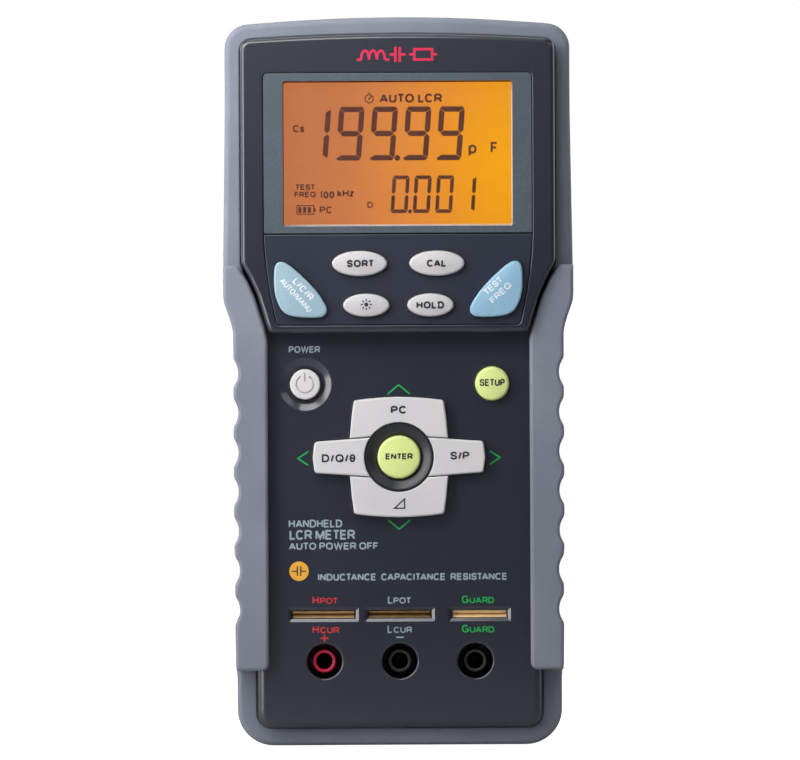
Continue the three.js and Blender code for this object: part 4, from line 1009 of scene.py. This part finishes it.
class Print:
    """Collects flat marks at one level and makes one thin printed piece of them."""

    def __init__(self, t, thick=INK):
        self.t, self.thick, self.flat = t, thick, []

    def area(self, pts):
        self.flat.append((list(pts), [tuple(range(len(pts)))]))
        return self

    def text(self, text, x0, x1, z0, z1, w=0.18, turn=0.0):
        """Lettering fitted in the box, which is turned about its own centre, degrees anticlockwise. w is the strokes' share of its height."""
        lines, (a, b, c, d) = line_of(text, w)
        cx, cz, kx, kz = (x0 + x1) / 2, (z0 + z1) / 2, (x1 - x0) / (b - a), (z1 - z0) / (d - c)
        q = math.radians(turn)
        for pts, closed in lines:
            flat = [((px - (a + b) / 2) * kx, (pz - (c + d) / 2) * kz) for px, pz in pts]
            self.stroke([(cx + u * math.cos(q) - v * math.sin(q), cz + u * math.sin(q) + v * math.cos(q)) for u, v in flat], w * (kz * 0.6 + kx * 0.4), closed)
        return self

    def stroke(self, pts, w, closed=False):
        """Line of even width with mitred bends and square ends."""
        pts = [p for i, p in enumerate(pts) if i == 0 or math.dist(p, pts[i - 1]) > 1e-5]
        n, left, right = len(pts), [], []
        for i, (x, z) in enumerate(pts):
            a = pts[i - 1] if i or closed else None
            b = pts[(i + 1) % n] if i + 1 < n or closed else None
            u = (Vector((x - a[0], z - a[1])).normalized() if a else None)
            v = (Vector((b[0] - x, b[1] - z)).normalized() if b else None)
            u, v = u or v, v or u
            m = Vector((-(u.y + v.y), u.x + v.x)).normalized()
            k = w / 2 / max(0.4, m.x * -u.y + m.y * u.x)
            left.append((x + m.x * k, z + m.y * k))
            right.append((x - m.x * k, z - m.y * k))
        if closed:
            self.flat.append((left + right, [(i, (i + 1) % n, n + (i + 1) % n, n + i) for i in range(n)]))
        else:
            self.flat.append((left + right, [(i, i + 1, n + i + 1, n + i) for i in range(n - 1)]))
        return self

    def dot(self, x, z, r, n=28):
        return self.area(circle(x, z, r, n))

    def ring(self, x, z, r, w, n=40, a0=0.0, a1=360.0):
        if a1 - a0 >= 360:
            return self.stroke(circle(x, z, r, n), w, True)
        return self.stroke([(x + r * math.cos(math.radians(a0 + (a1 - a0) * k / n)), z + r * math.sin(math.radians(a0 + (a1 - a0) * k / n))) for k in range(n + 1)], w)

    def done(self, name, body, mat, slot_name, height=None):
        """height(x, z) gives the surface's own level where it isn't flat."""
        b = bmesh.new()
        for i, (pts, faces) in enumerate(self.flat):
            # strokes that cross each other end at slightly different heights
            vs = [b.verts.new((x, 0.0012 * (i % 7), z)) for x, z in pts]
            for f in faces:
                if len(set(f)) >= 3:
                    b.faces.new([vs[i] for i in f])
        for f in b.faces:
            f.normal_update()
            if f.normal.y > 0:
                f.normal_flip()
        ext = bmesh.ops.extrude_face_region(b, geom=b.faces[:])
        front = [e for e in ext["geom"] if isinstance(e, bmesh.types.BMVert)]
        top = set(front)
        for v in b.verts:
            t = height(v.co.x, v.co.z) if height else self.t
            v.co = Vector(P(v.co.x, v.co.z, t + (self.thick + v.co.y if v in top else 0.0)))
        bmesh.ops.recalc_face_normals(b, faces=b.faces)
        mesh = bpy.data.meshes.new(name)
        b.to_mesh(mesh)
        b.free()
        o = bpy.data.objects.new(name, mesh)
        SCENE.collection.objects.link(o)
        mesh.materials.append(MAT[mat])
        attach(o, body)
        return o


def on_dome(pts, centre, edge, rise, top):
    """Level of a domed cap's top at a point, from how far out it is towards the rim."""
    rim = offset(clean(pts), -edge)

    def level(x, z):
        dx, dz = x - centre[0], z - centre[1]
        if abs(dx) + abs(dz) < 1e-6:
            return top + 0.005
        best = 1e9
        for i in range(len(rim)):
            ax, az = rim[i][0] - centre[0], rim[i][1] - centre[1]
            bx, bz = rim[(i + 1) % len(rim)][0] - centre[0], rim[(i + 1) % len(rim)][1] - centre[1]
            ex, ez = bx - ax, bz - az
            den = dx * ez - dz * ex
            if abs(den) < 1e-12:
                continue
            k, m = (ax * ez - az * ex) / den, (ax * dz - az * dx) / den
            if k > 0 and -1e-9 <= m <= 1 + 1e-9:
                best = min(best, k)
        s = min(1.0, 1.0 / best) if best < 1e8 else 0.0
        return top - rise * s * s + 0.012
    return level


def mean(pts):
    pts = clean(pts)
    return (sum(p[0] for p in pts) / len(pts), sum(p[1] for p in pts) / len(pts))


# --- lower face
F = 35.0
pale = Print(F)
pale.text("POWER", -27.7, -19.8, 99.3, 101.0, 0.205)
pale.text("HANDHELD", -27.9, -14.4, 55.2, 57.2, 0.20)
pale.text("AUTO POWER OFF", -27.9, -5.3, 49.6, 51.4, 0.20)
pale.text("INDUCTANCE  CAPACITANCE  RESISTANCE", -20.6, 27.2, 41.75, 43.55, 0.215)
pale.text("LCR METER", -27.7, -11.2, 52.1, 54.6, 0.20)
pale.text("L", -2.95, -1.68, 35.9, 37.85, 0.17).text("POT", -1.56, 2.9, 35.9, 37.45, 0.19)
pale.text("L", -3.07, -1.85, 28.5, 30.45, 0.17).text("CUR", -1.56, 3.1, 28.5, 30.05, 0.19)
pale.stroke([(-0.93, 27.4), (1.04, 27.4)], 0.34)
pale.done("legend_pale", "housing", "ink_pale", "case")
red = Print(F)
red.text("H", -21.95, -20.4, 35.9, 37.85).text("POT", -20.05, -15.6, 35.9, 37.45)
red.text("H", -22.0, -20.4, 28.5, 30.45).text("CUR", -20.05, -15.3, 28.5, 30.05)
red.stroke([(-20.0, 27.25), (-18.0, 27.25)], 0.36).stroke([(-19.0, 26.35), (-19.0, 27.06)], 0.36).stroke([(-19.0, 27.44), (-19.0, 28.15)], 0.36)
red.done("legend_red", "housing", "ink_red", "case")
green = Print(F)
green.text("G", 15.7, 17.4, 35.9, 37.85).text("UARD", 17.66, 23.85, 35.9, 37.45)
green.text("G", 15.7, 17.4, 28.5, 30.45).text("UARD", 17.66, 23.85, 28.5, 30.05)
for s in (-1, 1):
    green.stroke([(s * 22.9, 74.4), (s * 25.5, 72.65), (s * 22.9, 70.9)], 0.34)
    green.stroke([(-2.8, NAV_Z + s * 15.9), (0, NAV_Z + s * 18.2), (2.8, NAV_Z + s * 15.9)], 0.34)
green.done("legend_green", "housing", "ink_green", "case")
amber = Print(F)
amber.area(circle(-25.35, 44.2, 2.45, 48))
amber.done("mark_disc", "housing", "ink_amber", "case")
sign = Print(F + INK, 0.02)
for s in (-1, 1):
    sign.area(rect(-25.35 + s * 0.42 - 0.16, -25.35 + s * 0.42 + 0.16, 43.0, 45.4, 0.0))
    sign.area(rect(min(-25.35 + s * 0.58, -25.35 + s * 1.75), max(-25.35 + s * 0.58, -25.35 + s * 1.75), 44.05, 44.35, 0.0))
sign.done("mark_symbol", "housing", "ink_dark", "case")

# --- crimson circuit symbols above the display: coil, capacitor, resistor
mark = Print(T_HEAD)
W = 0.62
mark.stroke([(-10.2, 173.0), (-9.05, 173.0)], W).stroke([(-3.05, 173.0), (-1.95, 173.0)], W)
for k in range(3):
    mark.stroke([(-8.1 + 2.0 * k - 1.0 * math.cos(math.pi * j / 16), 173.0 + 2.3 * math.sin(math.pi * j / 16)) for j in range(17)], W)
mark.stroke([(-1.9, 174.3), (-0.45, 174.3)], W).stroke([(-0.45, 172.4), (-0.45, 176.2)], W).stroke([(0.65, 172.4), (0.65, 176.2)], W).stroke([(0.65, 174.3), (2.1, 174.3)], W)
mark.stroke([(3.0, 174.3), (4.3, 174.3)], W).stroke([(4.3, 173.0), (8.8, 173.0), (8.8, 175.6), (4.3, 175.6)], W, True).stroke([(8.8, 174.3), (10.1, 174.3)], W)
mark.done("symbols_above_display", "housing", "ink_crimson", "case")

# --- keys
def key_print(name, key, fill, mat="ink_dark"):
    pts = HEAD_KEYS[key][0]
    p = Print(KEY_TOP)
    fill(p)
    p.done(name, "button_" + key, mat, "white_plastic" if HEAD_KEYS[key][1] == "key_white" else "blue_key", on_dome(pts, mean(pts), 0.75 if HEAD_KEYS[key][1] == "key_white" else 0.6, 0.35, KEY_TOP))


key_print("text_sort", "sort", lambda p: p.text("SORT", -12.95, -6.1, 120.75, 122.6, 0.25))
key_print("text_cal", "cal", lambda p: p.text("CAL", 7.15, 12.15, 120.75, 122.6, 0.25))
key_print("text_hold", "hold", lambda p: p.text("HOLD", 4.5, 11.5, 110.25, 112.1, 0.25))


def sun(p):
    p.dot(-8.08, 111.35, 0.5)
    for k in range(8):
        c, s = math.cos(math.pi * k / 4), math.sin(math.pi * k / 4)
        p.stroke([(-8.08 + 0.86 * c, 111.35 + 0.86 * s), (-8.08 + 1.42 * c, 111.35 + 1.42 * s)], 0.30)


key_print("sign_backlight", "backlight", sun)
key_print("text_mode", "mode", lambda p: p.text("L/C/R", -23.9 - 3.3, -23.9 + 3.3, 115.3 - 0.85, 115.3 + 0.85, 0.195, -47.5).text("AUTO/MANU", -25.8 - 5.4, -25.8 + 5.4, 113.8 - 0.75, 113.8 + 0.75, 0.195, -47.5), "ink_white")
key_print("text_frequency", "frequency", lambda p: p.text("TEST", 23.83 - 2.85, 23.83 + 2.85, 115.95 - 0.8, 115.95 + 0.8, 0.195, 43).text("FREQ", 25.73 - 3.3, 25.73 + 3.3, 114.2 - 0.8, 114.2 + 0.8, 0.195, 43), "ink_white")
Print(37.4).text("PC", -2.07, 2.06, 83.85, 85.8, 0.23).done("text_up", "button_up", "ink_dark", "white_plastic")
Print(37.4).text("D/Q/θ", -19.5, -11.0, 71.6, 73.7, 0.215).done("text_left", "button_left", "ink_dark", "white_plastic")
Print(37.4).text("S/P", 12.9, 17.75, 72.2, 74.2, 0.22).done("text_right", "button_right", "ink_dark", "white_plastic")
Print(37.4).stroke([(-1.2, 60.0), (1.35, 60.0), (1.35, 62.35)], 0.34, True).done("sign_down", "button_down", "ink_dark", "white_plastic")
p = Print(37.1).text("SETUP", 20.44, 26.76, 90.7, 92.5, 0.215)
p.done("text_setup", "button_setup", "ink_dark", "green_key", on_dome(circle(ROUND_X, ROUND_Z, 4.32, 64), (ROUND_X, ROUND_Z), 0.9, 0.35, 37.1))
p = Print(37.3).text("ENTER", -3.4, 3.45, 72.3, 73.85, 0.235)
p.done("text_enter", "button_enter", "ink_dark", "green_key", on_dome(circle(0, NAV_Z, ENTER_R, 64), (0, NAV_Z), 0.8, 0.3, 37.3))

# --- display segments
G = 36.5
seg = Print(G, 0.03)
DIGITS = {"0": "abcdef", "1": "bc", "9": "abcdfg"}


def digit(ch, x, z, w, h, k, slant):
    """Seven-segment digit: corner at (x, z), strokes of width k with mitred ends, leaning right."""
    g, m = 0.055 * k + 0.06, z + h / 2

    def lean(pts):
        return [(px + slant * (pz - z), pz) for px, pz in pts]
    q = 0.42 * k
    shapes = {
        "a": [(x + g, z + h - q), (x + g + q * 0.9, z + h), (x + w - g - q * 0.9, z + h), (x + w - g, z + h - q), (x + w - k * 0.95 - g * 0.4, z + h - k), (x + k * 0.95 + g * 0.4, z + h - k)],
        "d": [(x + k * 0.95 + g * 0.4, z + k), (x + w - k * 0.95 - g * 0.4, z + k), (x + w - g, z + q), (x + w - g - q * 0.9, z), (x + g + q * 0.9, z), (x + g, z + q)],
        "g": [(x + k * 0.42 + g, m), (x + k + g * 0.6, m + k / 2), (x + w - k - g * 0.6, m + k / 2), (x + w - k * 0.42 - g, m), (x + w - k - g * 0.6, m - k / 2), (x + k + g * 0.6, m - k / 2)],
        "b": [(x + w - q * 0.2, z + h - g - q * 0.9), (x + w, z + h - k - g), (x + w, m + k * 0.45 + g), (x + w - k * 0.5, m + g), (x + w - k, m + k / 2 + g), (x + w - k, z + h - k - g)],
        "c": [(x + w - q * 0.2, z + g + q * 0.9), (x + w, z + k + g), (x + w, m - k * 0.45 - g), (x + w - k * 0.5, m - g), (x + w - k, m - k / 2 - g), (x + w - k, z + k + g)],
        "f": [(x + q * 0.2, z + h - g - q * 0.9), (x, z + h - k - g), (x, m + k * 0.45 + g), (x + k * 0.5, m + g), (x + k, m + k / 2 + g), (x + k, z + h - k - g)],
        "e": [(x + q * 0.2, z + g + q * 0.9), (x, z + k + g), (x, m - k * 0.45 - g), (x + k * 0.5, m - g), (x + k, m - k / 2 - g), (x + k, z + k + g)],
    }
    for s in DIGITS[ch]:
        seg.area(lean(shapes[s]))


for ch, x in zip("19999", (-24.12, -15.69, -7.26, 1.17, 9.60)):
    digit(ch, x, 147.73, 6.45, 13.57, 1.36, 0.078)
seg.dot(-0.05, 148.35, 0.72)
for ch, x in zip("0001", (-1.86, 3.72, 9.36, 15.0)):
    digit(ch, x, 134.43, 4.3, 9.47, 0.92, 0.067)
seg.dot(3.08, 134.85, 0.5)
seg.text("AUTO LCR", -4.52, 11.28, 162.26, 164.55, 0.23)
seg.ring(-7.07, 163.3, 1.02, 0.30).stroke([(-7.3, 163.05), (-6.3, 164.1)], 0.34).stroke([(-7.4, 164.72), (-6.75, 164.72)], 0.26)
seg.text("Cs", -26.38, -23.46, 154.9, 156.8, 0.22).text("p", 17.9, 19.95, 148.6, 151.6, 0.20).text("F", 23.5, 25.3, 149.44, 152.3, 0.20)
seg.text("TEST", -25.85, -20.8, 140.34, 141.8, 0.225).text("FREQ", -26.07, -20.64, 138.45, 139.95, 0.225).text("100", -19.68, -15.96, 138.2, 140.0, 0.235).text("kHz", -15.27, -11.07, 138.6, 140.4, 0.225)
seg.text("PC", -19.74, -16.44, 134.43, 136.2, 0.215).text("D", -7.71, -6.22, 135.77, 137.3, 0.21)
seg.stroke([(-25.43, 134.25), (-21.2, 134.25), (-21.2, 136.4), (-25.43, 136.4)], 0.24, True)
for k in range(3):
    seg.area(rect(-25.08 + 1.2 * k, -24.3 + 1.2 * k, 134.58, 136.07))
seg.area(rect(-21.08, -20.72, 134.85, 135.8))
seg.done("display_segments", "housing", "segment", "lcd")

# ------------------------------------------------------------------ rear case, stand, battery cover
T_REAR, PIVOT_T, PIVOT_Z = 2.8, 2.6, 123.5
SCREWS = [(-35.1, 168), (35.1, 168), (-31.2, 9.4), (31.2, 9.4)]


def rod_x(t, z, r, x0, x1, n=40):
    return prism_x("c", [(t + r * math.cos(2 * math.pi * i / n), z + r * math.sin(2 * math.pi * i / n)) for i in range(n)], x0, x1)


rear = plate("rear", case_outline, T_REAR, 17.0, 0, 2.0, 7)
rear = cut(rear, plate("c", offset(case_outline, -2.0), 6.2, 18))
rear = join(rear, bar("c", -16.2, 16.2, 5, 26.2, 51.4, 111.6), plate("c", circle(0, 47.4, 3.2, 36), 5.5, 14), *[plate("c", circle(x, z, 3.6, 32), 4.2, 16.7) for x, z in SCREWS])
rear = cut(rear, plate("c", rect(-27, 27, 31, 127.3, 2, 6), T_REAR, 4.0), plate("c", rect(-27, 27, 31, 127.3, 2, 6), -1, 3.2), bar("c", -26.2, 26.2, -5, 5.1, 120.8, 126.4),
           plate("c", rect(-17.5, 17.5, 43.2, 113.3, 1.6, 5), -5, 5.3), bar("c", -14.7, 14.7, -5, 24.7, 52.9, 110.1), bar("c", -6, 6, 10, 17, 109, 113),
           plate("c", circle(0, 47.4, 1.5, 24), 0, 13), bar("c", -9.2, 9.2, 7.8, 15.2, 174, 182),
           *[plate("c", circle(x, z, 2.8, 32), -5, 7.5) for x, z in SCREWS], *[plate("c", circle(x, z, 1.65, 24), 0, 20) for x, z in SCREWS])
# shallow finger grooves moulded in the recess beside the cover
for k in range(5):
    for s in (-1, 1):
        rear = cut(rear, plate("c", rect(min(s * 19.6, s * 25.0), max(s * 19.6, s * 25.0), 52 + 12 * k, 53.0 + 12 * k, 0.45, 3), 3.5, 4.25))
for s in (-1, 1):
    rear = join(rear, plate("c", rect(min(s * 26.3, s * 29.4), max(s * 26.3, s * 29.4), 120.2, 126.8, 0.8, 4), 0.55, 5.5, 0, 0.5, 4))
rear = cut(rear, rod_x(PIVOT_T, PIVOT_Z, 1.15, -31, 31))
finish_piece(rear, "rear_shell", "housing", "case", ["rear_case"], angle=35)

stand = plate("stand", rect(-25.8, 25.8, 37, 123.4, 3, 8), 0.42, 3.6, 0.6, 0.75, 5)
stand = join(stand, bar("c", -25.8, 25.8, 0.9, 3.6, 119, 123.4), rod_x(PIVOT_T, PIVOT_Z, 2.2, -25.8, 25.8, 64))
stand = cut(stand, plate("c", rect(-18.8, 18.8, 42.6, 115, 2, 6), -1, 0.42, 0, 0), plate("c", rect(-18.8, 18.8, 42.6, 115, 2, 6), 0.42, 3.6, -0.5, -0.5, 4), rod_x(PIVOT_T, PIVOT_Z, 1.15, -31, 31))
for k in range(3):
    stand = cut(stand, plate("c", rect(-9, 9, 38.4 + 1.3 * k, 38.95 + 1.3 * k, 0.25, 3), 0.0, 0.75))
finish_piece(stand, "stand_frame", "stand", "case", ["tilt_stand"], angle=35)

door = plate("door", rect(-17.2, 17.2, 43.5, 113, 1.4, 6), 3.2, 5.0, 0, 0.35, 4)
door = cut(door, plate("c", circle(0, 47.4, 2.65, 40), -5, 4.2), plate("c", circle(0, 47.4, 1.6, 24), 0, 10))
for k in range(6):
    door = cut(door, plate("c", rect(-8, 8, 104.0 + 1.35 * k, 104.55 + 1.35 * k, 0.25, 3), 2.0, 3.55))
door = cut(door, plate("c", [(-2.2, 55.6), (2.2, 55.6), (0, 52.6)], 2.0, 3.5))
finish_piece(door, "cover_plate", "battery_cover", "case", ["battery_door"], angle=35)

screw = lathe("screw", 0, 47.4, [(0.0, 3.05), (1.5, 3.05), (1.95, 3.1), (2.2, 3.22), (2.3, 3.42), (2.3, 3.95), (1.25, 3.95), (1.25, 11.3), (1.05, 11.5), (0.0, 11.5)], 40)
screw = cut(screw, plate("c", rect(-1.35, 1.35, 47.15, 47.65, 0.1, 2), 2, 3.65), plate("c", rect(-0.25, 0.25, 46.05, 48.75, 0.1, 2), 2, 3.65))
finish_piece(screw, "cover_screw", "battery_cover", "steel", ["battery_door_screw"], angle=35)
label = plate("label", rect(-13, 13, 62, 100, 1, 5), 2.72, 3.21, 0, 0.05, 2)
finish_piece(label, "cover_label", "battery_cover", "label", ["rating_label"], angle=35)


class BackPrint(Print):
    """The same marks on a surface that is seen from behind, so they're mirrored and face the other way."""

    def done(self, name, body, mat, slot_name):
        b = bmesh.new()
        for i, (pts, faces) in enumerate(self.flat):
            vs = [b.verts.new((-x, 0.0012 * (i % 7), z)) for x, z in pts]
            for f in faces:
                if len(set(f)) >= 3:
                    b.faces.new([vs[i] for i in f])
        for f in b.faces:
            f.normal_update()
            if f.normal.y < 0:
                f.normal_flip()
        ext = bmesh.ops.extrude_face_region(b, geom=b.faces[:])
        top = {e for e in ext["geom"] if isinstance(e, bmesh.types.BMVert)}
        for v in b.verts:
            v.co = Vector(P(v.co.x, v.co.z, self.t - (self.thick + v.co.y if v in top else 0.0)))
        bmesh.ops.recalc_face_normals(b, faces=b.faces)
        mesh = bpy.data.meshes.new(name)
        b.to_mesh(mesh)
        b.free()
        o = bpy.data.objects.new(name, mesh)
        SCENE.collection.objects.link(o)
        mesh.materials.append(MAT[mat])
        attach(o, body)
        return o


p = BackPrint(2.72, 0.02)
p.text("LCR METER", -10, 10, 92.8, 95.6, 0.18).text("BATTERY", -10, -1.5, 85.8, 87.6).text("9 V", 6.0, 10, 85.8, 87.6)
p.stroke([(-10, 90.2), (10, 90.2)], 0.25).stroke([(-10, 83.4), (10, 83.4)], 0.25)
p.stroke([(-6, 74.2), (-1.2, 74.2)], 0.35).stroke([(-1.2, 71.0), (-1.2, 77.4)], 0.4).stroke([(0.6, 72.6), (0.6, 75.8)], 0.8).stroke([(0.6, 74.2), (6, 74.2)], 0.35)
p.text("+", -5.6, -4.4, 76.0, 77.2, 0.2).stroke([(4.6, 76.6), (5.8, 76.6)], 0.25)
p.done("print_label", "battery_cover", "ink_dark", "label")

# ------------------------------------------------------------------ infrared window, DC inlet
ir = plate("ir", rect(-8.9, 8.9, 176.4, 179.2, 0.6, 4), 8.1, 14.9, 0.25, 0.25, 4)
finish_piece(ir, "infrared_pane", "housing", "infrared", ["infrared_window"], angle=35)
jack = plate("jack", rect(28.5, 37.2, 135.2, 144.8, 0.4, 4), 17.4, 26.4, 0.4, 0.4, 3)
bore = rod_x(21.5, 140, 3.0, 29.8, 40, 48)
mouth = []
for k in range(5):
    a = math.pi / 2 * k / 4
    mouth.append((36.75 + 0.45 * math.sin(a), 3.0 + 0.45 * (1 - math.cos(a))))
verts, faces, n = [], [], 48
for x, r in mouth + [(39.0, mouth[-1][1])]:
    verts += [P(x, 140 + r * math.sin(2 * math.pi * i / n), 21.5 + r * math.cos(2 * math.pi * i / n)) for i in range(n)]
for k in range(len(mouth)):
    faces += [(k * n + i, k * n + (i + 1) % n, (k + 1) * n + (i + 1) % n, (k + 1) * n + i) for i in range(n)]
faces += [tuple(range(n)), tuple(range(len(mouth) * n, (len(mouth) + 1) * n))]
jack = cut(jack, bore, make("c", verts, faces))
finish_piece(jack, "inlet_body", "housing", "black", ["dc_jack"], angle=35)

# ------------------------------------------------------------------ CAD nodes that stay as they are
KEPT = {
    "display_frame": "frame_white", "light_guide": "light_pipe", "zebra_strip": "silicone", "keypad_sheet": "silicone", "main_board": "board", "shield_can": "steel", "measurement_chip": "chip", "controller_chip": "chip", "buzzer": "black",
    "board_screw_left": "steel", "board_screw_right": "steel", "case_screw_1": "steel", "case_screw_2": "steel", "case_screw_3": "steel", "case_screw_4": "steel", "battery": "battery", "battery_clip": "black", "battery_lead_black": "lead_black",
    "battery_lead_red": "lead_red", "stand_pin": "steel", "dc_jack_pin": "brass",
}
MAT["chip"] = plastic("chip_epoxy", lin(30, 30, 32), (0.45, 0.6), 3000, 0.000010, 0.10, 0.2, spec=0.4)
MAT["lead_black"] = plastic("lead_black_pvc", lin(26, 26, 28), (0.35, 0.5), 1200, 0.000008, 0.12, 0.0, spec=0.45)
MAT["lead_red"] = plastic("lead_red_pvc", lin(170, 28, 30), (0.35, 0.5), 1200, 0.000008, 0.12, 0.0, spec=0.45)
MAT["light_pipe"] = plastic("light_pipe_acrylic", lin(236, 190, 120), (0.10, 0.2), 600, 0.000003, 0.06, 0.0, spec=0.5)
for node, mat in KEPT.items():
    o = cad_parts[node]
    o.data.materials.clear()
    o.data.materials.append(MAT[mat])
    for poly in o.data.polygons:
        poly.material_index = 0

# ------------------------------------------------------------------ done
bpy.context.view_layer.update()
